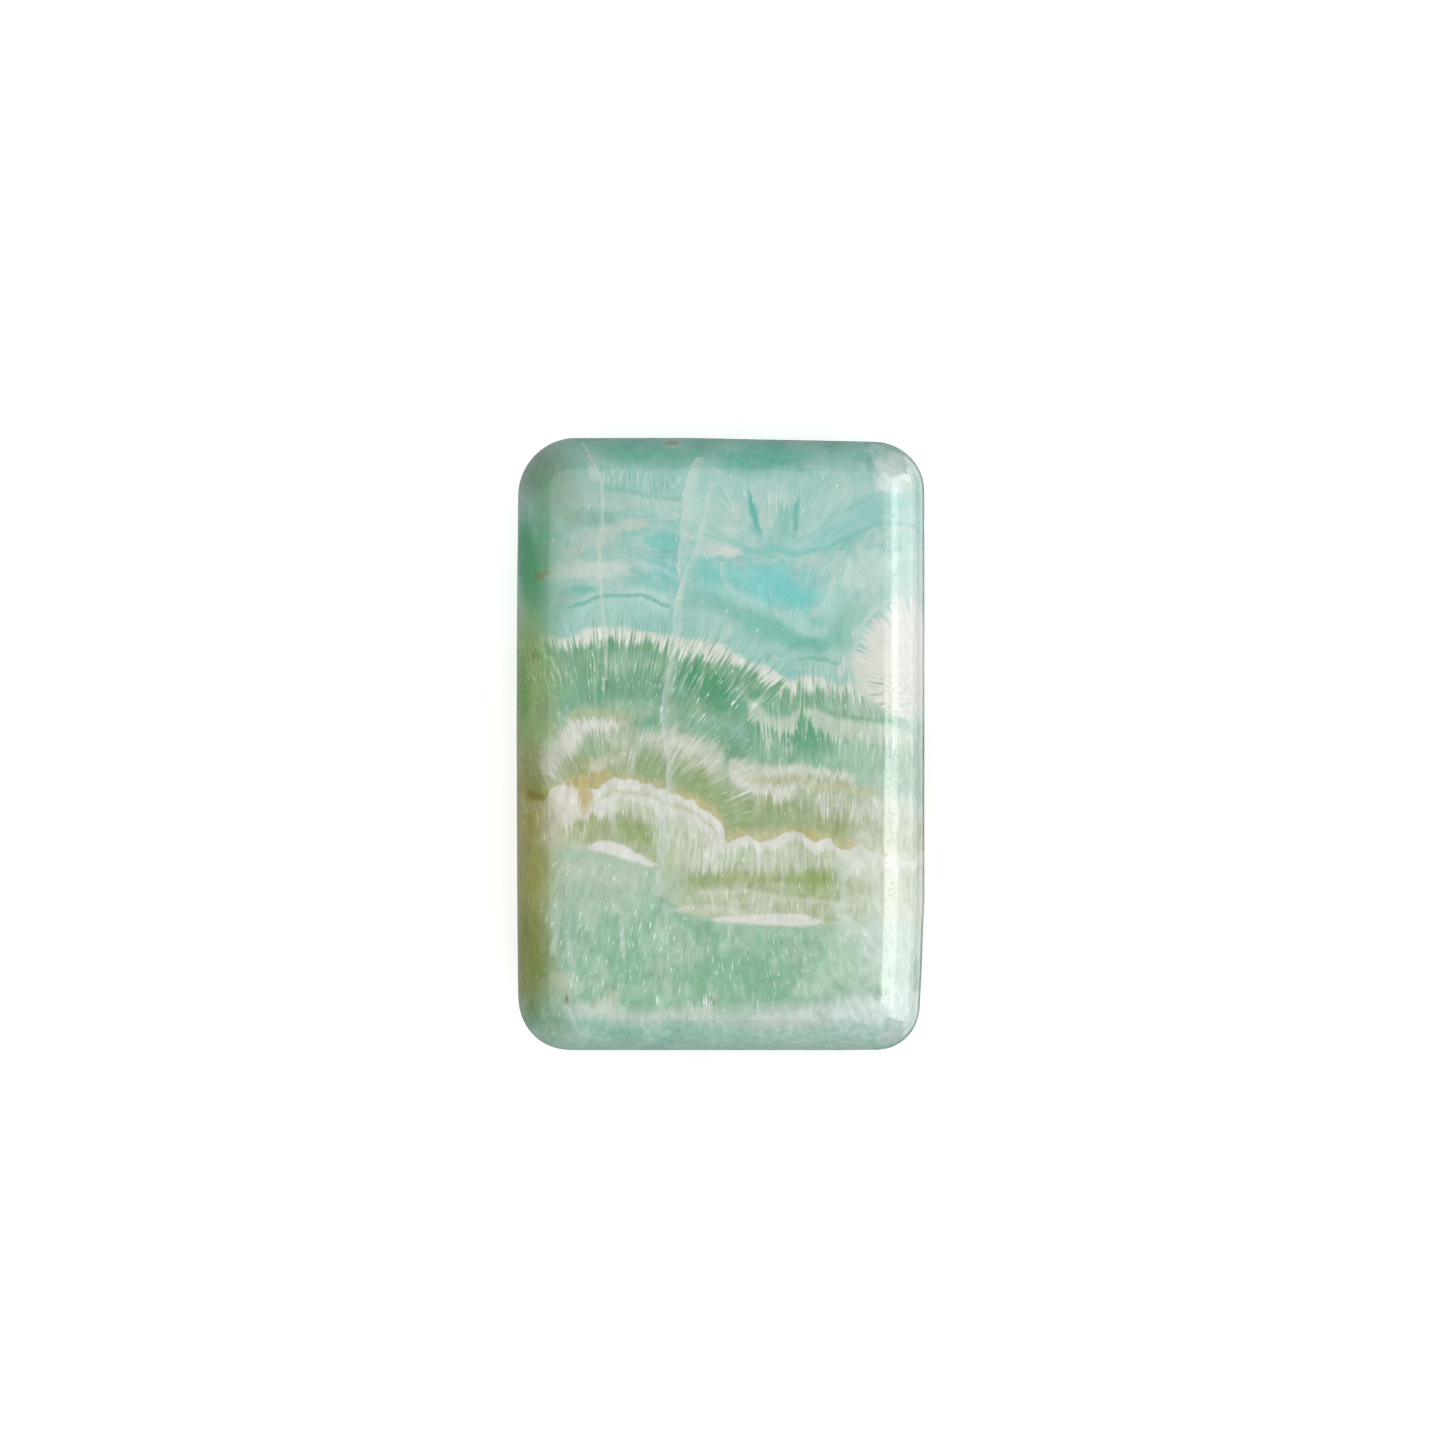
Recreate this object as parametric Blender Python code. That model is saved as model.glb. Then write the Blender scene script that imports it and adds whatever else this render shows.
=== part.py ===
"""A caribbean calcite pillow stone: one polished tablet, 75 mm long, 50 mm wide and 24 mm thick.

The stone is one natural piece, sawn to a slab and then ground and polished by hand. Its plan is an upright
rectangle with soft corners, of which the one at the back left is cut back the most. The upper face is gently
crowned, the lower face is flat in the middle so that it rests still, and a wide rounded edge runs between
each face and the sides.

Frame: +Z up through the thickness, +Y along the length, origin at the bottom centre. Units are metres.
"""

import math

import bmesh
import bpy
from mathutils import Vector

NODE = "calcite_pillow_stone"

# Overall size
LENGTH = 0.0750
WIDTH = 0.0500
THICKNESS = 0.0240

# The plan's four corners: (side of X, side of Y) to (radius, exponent). Exponent 2 is a quarter circle, and
# a little more than that fills the corner out.
CORNERS = {
    (-1, 1): (0.0071, 2.0),
    (1, 1): (0.0061, 2.0),
    (-1, -1): (0.0068, 2.2),
    (1, -1): (0.0057, 2.2),
}

# How far the ground sides leave the rectangle: the left one is drawn in towards both its ends, the right one
# towards the front, and the back one towards the right
LEFT_SIDE_DRAWN_IN = 0.00025
RIGHT_SIDE_TAPER = 0.0015
RIGHT_TAPER_STARTS = 0.5
BACK_SIDE_SLOPE = 0.020
BACK_SLOPE_STARTS_AT_X = -0.0040

# The rounded edge between a face and a side, and the side's own swell
EDGE_REACH = 0.0054
EDGE_DROP = 0.0078
EDGE_EXPONENT = 2.2
SIDE_SWELL = 0.0004

# The crown of the upper face, and the lower face, which rises only outside the flat that it rests on
UPPER_CROWN = 0.0011
LOWER_RISE = 0.0006
LOWER_FLAT_SHARE = 0.62

# Mesh: the surface is sought from a core deep inside. Along X, Y and Z, the box has quads of even width over
# the core, and quads of even angle from there to each end.
CORE_DEPTH = 0.0100
CORE = (WIDTH / 2 - CORE_DEPTH, LENGTH / 2 - CORE_DEPTH, 0.0)
MIDDLE_QUADS = (6, 10, 0)
CORNER_QUADS = (8, 8, 7)
SEARCH_REACH = 1.2
BISECTIONS = 40
FLAT_HEIGHT = 1e-7
FLAT_ANGLE = math.radians(0.01)

COLOUR = (0.40, 0.62, 0.54, 1.0)
ROUGHNESS = 0.14
CALCITE_IOR = 1.57


def clear_scene():
    """Removes every object that the file starts with."""
    for obj in list(bpy.data.objects):
        bpy.data.objects.remove(obj)


def squared_up(x, y):
    """The plan point (x, y) moved to where it would lie if all four sides were straight and square."""
    along = y / (LENGTH / 2)
    if x < 0:
        side_in = LEFT_SIDE_DRAWN_IN * along**2
    else:
        side_in = RIGHT_SIDE_TAPER * max(0.0, -along - RIGHT_TAPER_STARTS)
    back_in = BACK_SIDE_SLOPE * max(0.0, x - BACK_SLOPE_STARTS_AT_X) if y > 0 else 0.0
    return x / (1 - side_in / (WIDTH / 2)), y / (1 - back_in / (LENGTH / 2))


def inset(x, y):
    """How far the plan point (x, y) lies inside the stone's outline."""
    u, v = squared_up(x, y)
    radius, exponent = CORNERS[(1 if x >= 0 else -1, 1 if y >= 0 else -1)]
    across = abs(u) - WIDTH / 2 + radius
    along = abs(v) - LENGTH / 2 + radius
    around = (max(across, 0.0) ** exponent + max(along, 0.0) ** exponent) ** (1 / exponent)
    return radius - around - min(max(across, along), 0.0)


def face_height(x, y, upper):
    """The height of a face above or below the mid plane at (x, y), before the edge rounds it off."""
    off_centre = ((x / (WIDTH / 2)) ** 2 + (y / (LENGTH / 2)) ** 2) / 2
    if upper:
        return THICKNESS / 2 - UPPER_CROWN * off_centre
    past_flat = max(0.0, math.sqrt(off_centre) - LOWER_FLAT_SHARE) / (1 - LOWER_FLAT_SHARE)
    return THICKNESS / 2 - LOWER_RISE * past_flat


def outside(point):
    """Positive where the point lies outside the stone, negative inside. Heights are from the mid plane."""
    x, y, z = point
    face = face_height(x, y, z > 0)
    rim = inset(x, y) - SIDE_SWELL * (z / face) ** 2
    towards_side = max(0.0, 1 - rim / EDGE_REACH)
    towards_face = max(0.0, 1 + (abs(z) - face) / EDGE_DROP)
    return towards_side**EDGE_EXPONENT + towards_face**EDGE_EXPONENT - 1


def on_surface(box_point):
    """The point of the stone's surface that is seen from deep inside it, looking to a point of its box."""
    core = Vector([max(-limit, min(limit, place)) for place, limit in zip(box_point, CORE)])
    way = box_point - core
    near, far = 0.0, SEARCH_REACH
    for _ in range(BISECTIONS):
        middle = (near + far) / 2
        if outside(core + way * middle) > 0:
            far = middle
        else:
            near = middle
    return core + way * near


def row_places(half, core, middle_quads, corner_quads):
    """Where the rows between the box's quads stand along one axis, from its low end to its high end."""
    middle = [core * (2 * row - middle_quads) / max(1, middle_quads) for row in range(middle_quads + 1)]
    widest = math.atan((half - core) / CORE_DEPTH)
    angles = [widest * (row + 1) / corner_quads for row in range(corner_quads)]
    end = [core + CORE_DEPTH * math.tan(angle) for angle in angles]
    return [-place for place in reversed(end)] + middle + end


def gridded_box():
    """The stone's bounding box as a bmesh of quads, with its middle at the origin."""
    bm = bmesh.new()
    bmesh.ops.create_cube(bm, size=1.0)
    half_sizes = (WIDTH / 2, LENGTH / 2, THICKNESS / 2)
    for axis, half in enumerate(half_sizes):
        places = row_places(half, CORE[axis], MIDDLE_QUADS[axis], CORNER_QUADS[axis])
        quads = len(places) - 1
        uncut = [e for e in bm.edges if abs(e.verts[0].co[axis] - e.verts[1].co[axis]) > 0.5]
        bmesh.ops.subdivide_edges(bm, edges=uncut, cuts=quads - 1, use_grid_fill=True)
        for vert in bm.verts:
            vert.co[axis] = places[round((vert.co[axis] + 0.5) * quads)]
    return bm


def centre_on_base(bm):
    """Moves the body so that the bottom centre of its bounding box is the origin."""
    low = Vector([min(v.co[axis] for v in bm.verts) for axis in range(3)])
    high = Vector([max(v.co[axis] for v in bm.verts) for axis in range(3)])
    base = Vector(((low.x + high.x) / 2, (low.y + high.y) / 2, low.z))
    bmesh.ops.translate(bm, vec=-base, verts=bm.verts)


def merge_resting_flat(bm):
    """Joins the quads of the lower face's flat into one face, which the stone rests on."""
    flat = {f for f in bm.faces if all(abs(v.co.z) < FLAT_HEIGHT for v in f.verts)}
    inner_edges = [e for e in bm.edges if all(f in flat for f in e.link_faces)]
    inner_verts = list({v for e in inner_edges for v in e.verts})
    bmesh.ops.dissolve_limit(bm, angle_limit=FLAT_ANGLE, verts=inner_verts, edges=inner_edges)


def stone_material():
    """Polished calcite: pale sea green, glossy, with the index of refraction of the mineral."""
    material = bpy.data.materials.new("polished_calcite")
    material.use_nodes = True
    shader = material.node_tree.nodes["Principled BSDF"]
    shader.inputs["Base Color"].default_value = COLOUR
    shader.inputs["Roughness"].default_value = ROUGHNESS
    shader.inputs["Metallic"].default_value = 0.0
    shader.inputs["IOR"].default_value = CALCITE_IOR
    return material


def make_stone(collection):
    """The stone as one smooth shaded object."""
    bm = gridded_box()
    for vert in bm.verts:
        vert.co = on_surface(vert.co)
    centre_on_base(bm)
    merge_resting_flat(bm)
    mesh = bpy.data.meshes.new(NODE)
    bm.to_mesh(mesh)
    bm.free()
    mesh.shade_smooth()
    mesh.materials.append(stone_material())
    collection.objects.link(bpy.data.objects.new(NODE, mesh))


def main():
    """Builds the stone in its own collection."""
    clear_scene()
    collection = bpy.data.collections.new("caribbean_calcite_pillow_stone")
    bpy.context.scene.collection.children.link(collection)
    make_stone(collection)


main()
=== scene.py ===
"""A polished caribbean calcite pillow stone on a plain pale floor, from straight above in soft studio light.

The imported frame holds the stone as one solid. Here it gets a finer mesh of the same form and one material,
in which bands of calcite and aragonite are painted as they grew: layer on layer, from the front of the stone
to its back, each with fibres that stand across its growth line. Meshes, lights and the camera are in metres.
Everything that the material reads is in millimetres on the stone.
"""

import logging
import math
from dataclasses import dataclass
from enum import Enum
from functools import partial

import bmesh
import bpy
import numpy as np
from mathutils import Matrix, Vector, noise


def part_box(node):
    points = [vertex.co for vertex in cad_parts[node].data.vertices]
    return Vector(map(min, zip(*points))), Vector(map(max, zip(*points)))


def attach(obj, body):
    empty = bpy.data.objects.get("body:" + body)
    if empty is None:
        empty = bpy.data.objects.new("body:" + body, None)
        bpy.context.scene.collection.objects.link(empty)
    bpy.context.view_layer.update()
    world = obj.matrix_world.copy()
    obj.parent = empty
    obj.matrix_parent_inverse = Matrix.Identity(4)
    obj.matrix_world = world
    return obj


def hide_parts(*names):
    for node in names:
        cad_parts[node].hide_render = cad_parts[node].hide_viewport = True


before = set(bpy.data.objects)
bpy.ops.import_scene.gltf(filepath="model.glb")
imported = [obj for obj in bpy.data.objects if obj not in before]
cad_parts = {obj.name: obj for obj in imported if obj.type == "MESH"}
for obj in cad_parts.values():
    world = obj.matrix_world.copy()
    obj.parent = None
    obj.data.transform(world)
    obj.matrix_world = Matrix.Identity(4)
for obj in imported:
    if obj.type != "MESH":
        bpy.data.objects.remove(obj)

NODE = "calcite_pillow_stone"
BODY = "root"
MM = 1000.0

# Metres to the millimetres in which the growth lines are drawn: they were measured on a face 1% smaller
DRAWN_MM = 989.3

# The height of the upper face, and how deep most stains go below it, in those millimetres
FACE_Z = 24.0
USUAL_DEPTH = 9.0

# What the polish mirrors of the softbox overhead, and how strongly the face is lit: 1 shows white as white
SHINE = 0.05
LIGHT = 1.12

Socket = bpy.types.NodeSocket
Feed = Socket | float | tuple | None
Line = tuple[tuple[float, float], ...]

# A soft step stays within its two ends by itself. A clamp on it would be a node of its own to the renderer,
# which would then have to hold every step of the pattern at once.
SOFT_STEP = {"interpolation_type": "SMOOTHSTEP", "clamp": False}

log = logging.getLogger("pillow_stone")


class Edge(Enum):
    """How the edge of a stain runs out."""

    PLAIN = "smooth, as on a small speck"
    CLOUDED = "billowing, as in a milky cloud"
    WISPY = "billowing, and drawn out along the growth lines"
    FRAYED = "frayed by the fibres that cross it"
    COMBED = "frayed, with the colour on the pale fibres alone"
    RAYED = "frayed all round, by fibres that spread out from its middle"


FIBROUS = (Edge.FRAYED, Edge.COMBED, Edge.RAYED)


def linear(word: str) -> tuple[float, float, float, float]:
    """Turns an sRGB hex colour to linear light.

    Args:
        word: Six hex digits, such as "7cc7c2".

    Returns:
        Red, green, blue and an alpha of 1.
    """
    parts = [int(word[place:place + 2], 16) / 255 for place in (0, 2, 4)]
    light = [part / 12.92 if part <= 0.04045 else ((part + 0.055) / 1.055) ** 2.4 for part in parts]
    return (*light, 1.0)


def own_colour(word: str) -> tuple[float, float, float, float]:
    """Takes the pale shine of the polish off a colour as it is seen on the stone's upper face.

    Args:
        word: Six hex digits, such as "7cc7c2".

    Returns:
        The stone's own colour in linear light: red, green, blue and an alpha of 1.
    """
    return (*(max(0.0, part - SHINE) / LIGHT for part in linear(word)[:3]), 1.0)


def add_node(tree: bpy.types.NodeTree, kind: str, feeds: tuple[Feed, ...] = (), **settings) -> Socket:
    """Adds a node with its settings and its links.

    Args:
        tree: The node tree that takes the node.
        kind: The node's type, without the word ShaderNode in front.
        feeds: What goes into the node's open inputs, in their order: a socket is linked, a value is set, and
            None keeps what the input has.
        settings: The node's own properties, such as operation="ADD".

    Returns:
        The first open output. Its node attribute leads to the others.
    """
    node = tree.nodes.new("ShaderNode" + kind)
    for name, value in settings.items():
        setattr(node, name, value)
    open_inputs = [socket for socket in node.inputs if socket.enabled]
    for socket, feed in zip(open_inputs, feeds):
        if isinstance(feed, Socket):
            tree.links.new(feed, socket)
        elif feed is not None:
            socket.default_value = feed
    return next(socket for socket in node.outputs if socket.enabled)


# Growth lines of the upper face, in mm from the stone's middle, from the front of the stone to its back
MILK_FOOT = ((-26.3, -31), (-18.4, -32), (-9.6, -33.4), (1.1, -33.4), (4.7, -34.1), (9.8, -33.7),
             (15.4, -32.9), (20.2, -31.8), (26.2, -30.6))
MILK_TOP = ((-26.3, -29.6), (-19.1, -30.7), (-15.1, -31.5), (-11.7, -32), (-8.4, -31.6), (1, -31.6),
            (9.8, -30.8), (15.1, -30.3), (26.2, -29.7))
LENS_FLOOR = ((-26.3, -11.5), (-20.9, -11.9), (-15.1, -13), (-11.4, -13.9), (-8.4, -14.6), (-7.3, -16.3),
              (-6.3, -18.1), (-4.8, -19.6), (-0.9, -20.8), (4.6, -21.4), (9.8, -21.6), (26.2, -21.2))
OLIVE_FOOT = ((-26.3, -11), (-19.1, -11.7), (-12.3, -12.1), (-10.7, -12.7), (-9.2, -13.5), (-7.8, -14.5),
              (-6.3, -17), (-3.6, -17.8), (0.2, -18.2), (2.9, -17.8), (5.3, -18.1), (9.5, -19),
              (15.4, -19.6), (19, -19.2), (26.2, -18.6))
OLIVE_TOP = ((-26.3, -7.4), (-19.1, -9.4), (-16.1, -9.4), (-14.4, -8.2), (-11.4, -8.2), (-9, -9.4),
             (-7.2, -12.1), (-5.8, -14.6), (-2.4, -15), (4.7, -14.6), (9.5, -14.1), (13.1, -14.8),
             (17.8, -15.3), (26.2, -13.9))
SCALLOP_FOOT = ((-26.3, -6.7), (-20.9, -6.7), (-19.1, -8.5), (-17, -8.9), (-14.7, -8.2), (-12.7, -6.9),
                (-11.4, -6.6), (-8.2, -7.8), (-7, -9.1), (-5.1, -10.3), (-3, -11.3), (-0.1, -12.9),
                (2, -12.7), (3.3, -12.2), (5.4, -12.8), (8, -11.7), (9.5, -11.7), (11.1, -12.9),
                (12.9, -12.5), (15, -13.5), (16.7, -13.2), (19.4, -14.6), (22.9, -15.2), (24.1, -14.6),
                (26.2, -14.6))
SCALLOP_TOP = ((-26.3, -5.4), (-24.1, -5.8), (-22.1, -7.1), (-20.9, -6.7), (-20.1, -5.2), (-17.1, -4.9),
               (-14.7, -5.3), (-13.6, -4.5), (-12.7, -3.9), (-11.7, -4.2), (-10.1, -4.2), (-9.2, -4.7),
               (-8.4, -4.6), (-7.6, -5.3), (-6.7, -5.4), (-5.9, -5.9), (-5.1, -5.9), (-4.2, -6.6),
               (-3.4, -6.5), (-2.6, -7.4), (-0.9, -8.5), (-0.1, -9.2), (0.5, -10.4), (0.9, -11.7),
               (2, -11.3), (3.3, -10.9), (4.4, -11.6), (5.4, -11.6), (7, -10.9), (8, -10.4),
               (9.5, -10.4), (11.1, -11.6), (12.9, -11.1), (13.8, -12.2), (15, -12.5), (16.7, -11.9),
               (17.7, -12.7), (18.5, -12.8), (19.4, -13.4), (20.3, -13.5), (22.9, -14), (24.1, -13),
               (26.2, -12.5))
HONEY_TOP = ((-26.3, -4.3), (-24.1, -4.7), (-22.1, -6.1), (-20.9, -5.7), (-19.6, -4.2), (-17.1, -3.5),
             (-15.7, -2.8), (-13.8, -2.8), (-12.3, -3.2), (-10.1, -3.3), (-7.6, -4), (-5.9, -4.7),
             (-3.7, -5.2), (-1.7, -6.4), (-0.1, -7.6), (0.9, -9.8), (2.4, -9.7), (4.2, -10.1),
             (7.7, -9.4), (9.8, -9.5), (13.3, -10.4), (14.1, -11.1), (15.9, -10.8), (18.5, -12),
             (19.6, -11.7), (21.5, -12.3), (22.9, -13.3), (24.1, -12.1), (26.2, -11.3))
CREAM_FOOT = ((-26.3, -2.6), (-22.7, -3.2), (-20.3, -4.1), (-18.5, -3.2), (-16.7, -1), (-14.4, -0.2),
              (-12, -0.3), (-9.6, -1.6), (-4.8, -1.4), (-2.4, -2.6), (-0.6, -4.3), (1, -5.5),
              (2.9, -6.4), (8, -7.1), (10.2, -7.3), (12.5, -8.2), (17.7, -8.5), (23.8, -9.7),
              (26.2, -9.7))
CREAM_TOP = ((-26.3, -0.2), (-20.9, 1), (-18.8, 1.5), (-17.7, 2.8), (-16.4, 3.2), (-11.7, 2.8),
             (-9.6, 1.4), (-5.1, 1.5), (-2.6, 0.7), (-1.6, -0.7), (1, -2.4), (4.6, -2.9), (8, -2.6),
             (10.2, -2.1), (11.5, -2.9), (15.1, -3.8), (17.7, -5.1), (23.8, -7.1), (26.2, -7.7))
CREST_FOOT = ((-26.3, 9.7), (-20.6, 10), (-19.2, 9.7), (-16.7, 10.5), (-11.7, 10.9), (-8.4, 10.5),
              (-5.9, 9.4), (-1.7, 8.8), (0.2, 8.4), (2.3, 7.6), (4.2, 6.4), (5.9, 5.5), (7.7, 4.8),
              (11.3, 4.9), (15.4, 4), (20.2, 2.6), (22, 1.4), (26.2, 0.7))
CREST_TOP = ((-26.3, 12.3), (-20.6, 12.9), (-17.9, 12.8), (-16, 13.8), (-13.4, 14), (-9.2, 13.6),
             (-5.9, 12.9), (-1.7, 12.3), (0.2, 12), (2, 10.8), (3.6, 9.7), (5.4, 9.4), (8, 7.8),
             (10.9, 8.2), (14.1, 7.2), (15.9, 7.3), (20, 6.6), (26.2, 5.6))
ARC_LOW = ((-26.3, 14.5), (-23.9, 15.6), (-16.7, 16.6), (-14.2, 17.7), (-9.2, 17.7), (-7.9, 17.1),
           (-6.3, 16.4), (-2.4, 17.3), (0.5, 16.6), (3.6, 15.4), (6.3, 14.4), (8.9, 12.7), (10.4, 11.7),
           (12.1, 11.1), (14.1, 12.8), (15.1, 15.1), (16.4, 16.5), (19, 18.9), (24.4, 21.9),
           (26.2, 22.5))
ARC_HIGH = ((-26.3, 31.2), (-19.1, 32.1), (-13.8, 31), (-4.5, 29.1), (-1.7, 28.3), (4.7, 25.4),
            (9.8, 24.8), (11.5, 25.4), (12.5, 26.5), (16.7, 29), (18.2, 29.7), (20.3, 29.5),
            (23.8, 27.9), (26.2, 26.9))
TOP_BAND = ((-26.3, 36.2), (-19.1, 36.2), (-9.6, 33.5), (-7.2, 32.7), (-1, 33.8), (1.7, 32.6),
            (8.3, 32.6), (11.9, 34.3), (17.8, 36.2), (26.2, 37.4))

# Shorter lines, that run out inside the face
SECOND_CREST_TOP = ((2.9, 5.2), (3.8, 5.2), (4.7, 4.6), (6.3, 3.3), (8, 3.4), (9.5, 4.2), (10.6, 4.5),
                    (13.3, 3.4), (16.7, 2.6), (22, 1.6))
SECOND_CREST_FOOT = ((2.9, 4.8), (3.8, 3.3), (5, 1.8), (6.5, 1.4), (8.3, 1.1), (9.5, 3.3), (10.4, 3.6),
                     (11.3, 1.3), (13.1, 0.8), (17.8, 0.4), (22, -0.1))
CREST_SEAM = ((6.5, 3.8), (8.3, 4.5), (11.3, 4.4), (14.2, 3.4), (20.8, 2.7))
TAN_SEAM = ((2.9, -4), (6.3, -4.5), (8, -4), (9.5, -4.2), (10.9, -4.8), (12.5, -5.2), (13.8, -4.8),
            (18.5, -5.8))
THIN_CREST = ((-2.4, -17.7), (2.9, -17.5), (7.2, -18.2), (9.5, -18.6), (16.4, -19.2))
INNER_SCALLOP = ((-14.7, -6.7), (-12.7, -5.4), (-11.7, -5.7), (-8.4, -6), (-6.7, -6.9), (-3.4, -7.9),
                 (-1.7, -9.2), (-0.3, -10.7))
LEFT_LENS_TOP = ((-15.9, -12.2), (-14.7, -11.6), (-12.3, -11.7), (-10.7, -12.5), (-7.4, -14.4))
LEFT_LENS_FOOT = ((-15.9, -12.2), (-13.4, -13), (-10.9, -13.8), (-8.4, -14.5), (-7.4, -14.5))
RIGHT_LENS_TOP = ((-1.2, -20.9), (2.8, -20.4), (7.2, -20.1), (9.8, -20.3), (12.3, -21.2))
RIGHT_LENS_FOOT = ((-1.2, -20.9), (2.3, -21.3), (8, -21.6), (9.8, -21.7), (12.3, -21.2))
SMALL_LENS_TOP = ((13.3, -20.3), (14.8, -20.4), (16.9, -21.6))
SMALL_LENS_FOOT = ((13.3, -20.3), (15.2, -21), (16.9, -21.6))
CREAM_LENS_TOP = ((-5.8, -19.7), (-2.4, -19), (-0.1, -19.2), (2.9, -20))
CREAM_LENS_FOOT = ((-5.8, -19.7), (-2.4, -20), (-0.1, -20.1), (2.9, -20))
BLUE_SEAM = ((-2.4, 22.8), (1.7, 22.3), (9.8, 22.8), (13.8, 23.9), (15.9, 25.1), (19.4, 26.5),
             (22, 26.4), (24.3, 25.4))
WING_TOP = ((4.7, 24.9), (7.7, 25.4), (9.5, 24.4), (10.9, 25), (13, 26.6), (15.4, 28.1), (17.8, 29.6),
            (20, 30.2), (22, 29.6), (25, 27.4))
WING_FOOT = ((4.7, 24.3), (9.8, 22.9), (13.8, 23.9), (15.9, 25.1), (19.4, 26.5), (22, 26.4), (25, 25.2))
PALE_ARC = ((-14.4, 20.4), (-10.1, 21.4), (-7.6, 21.2), (-4.8, 19.6))
DARK_DASH = ((9.2, 10.1), (10.7, 10.3), (12.1, 10.1), (14, 9.5))
CURTAIN_FOOT = ((-14.6, 30.9), (-13.2, 30.5), (-11.4, 30.3), (-9.6, 29.9), (-7.8, 29.3), (-6.3, 29.2),
                (-4.6, 29.3))
RIBBON_TOP = ((0.2, -1.7), (1.7, -2.3), (2.9, -2.6), (5.2, -2.9), (7.4, -3), (9.5, -2.6), (11.9, -3.3),
              (14, -3.7), (16.6, -4.4))
RIBBON_FOOT = ((0.7, -3), (2.1, -4.3), (4.1, -5.5), (6.1, -5.6), (7.8, -5.5), (9.5, -4.8), (11.1, -4.9))
CREAM_EDGE = ((-20.9, 0.6), (-19.6, 2), (-18.3, 3.1), (-16.7, 3.6), (-14.6, 3.6), (-12.6, 3.2),
              (-10.5, 3))

# The lines that clouds drawn out along the growth follow
GROWTH = (MILK_FOOT, LENS_FLOOR, HONEY_TOP, CREAM_TOP, CREST_TOP, ARC_LOW, ARC_HIGH)

# Healed cracks, as points from the back of the stone to its front
WEST_CRACK = ((-16.6, 36.3), (-15.6, 34.3), (-14.7, 32.8), (-14.2, 31.3), (-14, 29), (-14, 26),
              (-14.4, 23.6), (-14.2, 20), (-14.2, 18), (-13.9, 15.8), (-13.5, 12.3), (-13.6, 9.3),
              (-13.9, 6.3))
MIDDLE_CRACK = ((-2.8, 34.3), (-3.9, 31.9), (-4.5, 29.6), (-4.5, 27.2), (-4.8, 23.6), (-5.2, 21.1),
                (-4.7, 19.1), (-5.5, 16.8), (-5.5, 14.1), (-5.9, 11.1), (-6.5, 7.5), (-7.1, 3.9),
                (-6.9, 1), (-6.3, -1.4), (-6.4, -5), (-7, -6.8), (-7.4, -12.8), (-7.7, -18.1))
BRANCH_CRACK = ((-1, 31.3), (-1.5, 29.6), (-2, 27.2), (-2.6, 24.8), (-2.9, 23.2), (-3.8, 21.6),
                (-4.3, 20), (-4.7, 18.8), (-5.2, 17.3))
SHORT_CRACK = ((0.1, 21.8), (0.1, 20.6), (0.3, 19.7), (0.8, 18.8))
EAST_CRACK = ((14, 23.1), (13.5, 22), (13.3, 20.4), (13, 18.8), (12.6, 17.4), (12, 16.1))
WEST_FOOT_CRACK = ((-18.4, -31), (-17.6, -32.4), (-17.1, -34), (-16.5, -35.6))
MID_FOOT_CRACK = ((-15.3, -31.3), (-15.6, -32.5), (-15.9, -34.2), (-16.1, -35.4))
EAST_FOOT_CRACK = ((-9.6, -32.5), (-9, -34), (-8.4, -35.6))


@dataclass(frozen=True)
class Layer:
    """A layer of growth, which reaches from its foot to the foot of the next one.

    Attributes:
        foot: The growth line that it starts on.
        deep: Its colour between the fibres, as sRGB hex.
        pale: Its colour on the fibres.
        grain: How far its shades follow the fibres and not the clouds, 0 to 1.
        fill: How much more of it is pale than deep, from -0.2 to 0.2.
        brush: How far its fibres reach over its foot, in mm.
        blur: Half the width in which its foot fades, in mm.
        lift: How far its foot lies above the growth line, in mm.
    """

    foot: Line
    deep: str
    pale: str
    grain: float
    fill: float
    brush: float
    blur: float
    lift: float = 0.0


@dataclass(frozen=True)
class Lens:
    """A lens of other growth between two lines that meet at both ends.

    Attributes:
        top: Its upper line.
        foot: Its lower line.
        colour: Its colour, as sRGB hex.
        strength: How much of what lies below it covers, 0 to 1.
        brush: How far fibres fray its edges, in mm.
        blur: The width in which its edges fade, in mm.
    """

    top: Line
    foot: Line
    colour: str
    strength: float
    brush: float
    blur: float


@dataclass(frozen=True)
class Seam:
    """A thin band along a growth line.

    Attributes:
        line: The growth line.
        width: Its width, in mm.
        colour: Its colour, as sRGB hex.
        strength: How much of what lies below it covers, 0 to 1.
        blur: The width in which its edges fade, in mm.
        brush: How far fibres fray its edges, in mm.
        reach: Where it starts and ends along X, in mm.
    """

    line: Line
    width: float
    colour: str
    strength: float
    blur: float
    brush: float
    reach: tuple[float, float]


@dataclass(frozen=True)
class Hairs:
    """Fine hairs that cross a growth line.

    Attributes:
        line: The growth line.
        low: Where they start, in mm above the line.
        high: Where they end, in mm above the line.
        colour: Their colour, as sRGB hex.
        strength: How much of what lies below them they cover, 0 to 1.
        pale: True where the pale hairs are meant, and False where the dark ones are.
        reach: Where they start and end along X, in mm.
    """

    line: Line
    low: float
    high: float
    colour: str
    strength: float
    pale: bool
    reach: tuple[float, float] = (-27.0, 27.0)


@dataclass(frozen=True)
class Tint:
    """Patches of another shade between two growth lines.

    Attributes:
        foot: The lower line.
        top: The upper line.
        colour: Their colour, as sRGB hex.
        strength: How much of what lies below them they cover, 0 to 1.
        size: How wide, how long and how deep they are, in mm.
    """

    foot: Line
    top: Line
    colour: str
    strength: float
    size: tuple[float, float, float]


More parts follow.
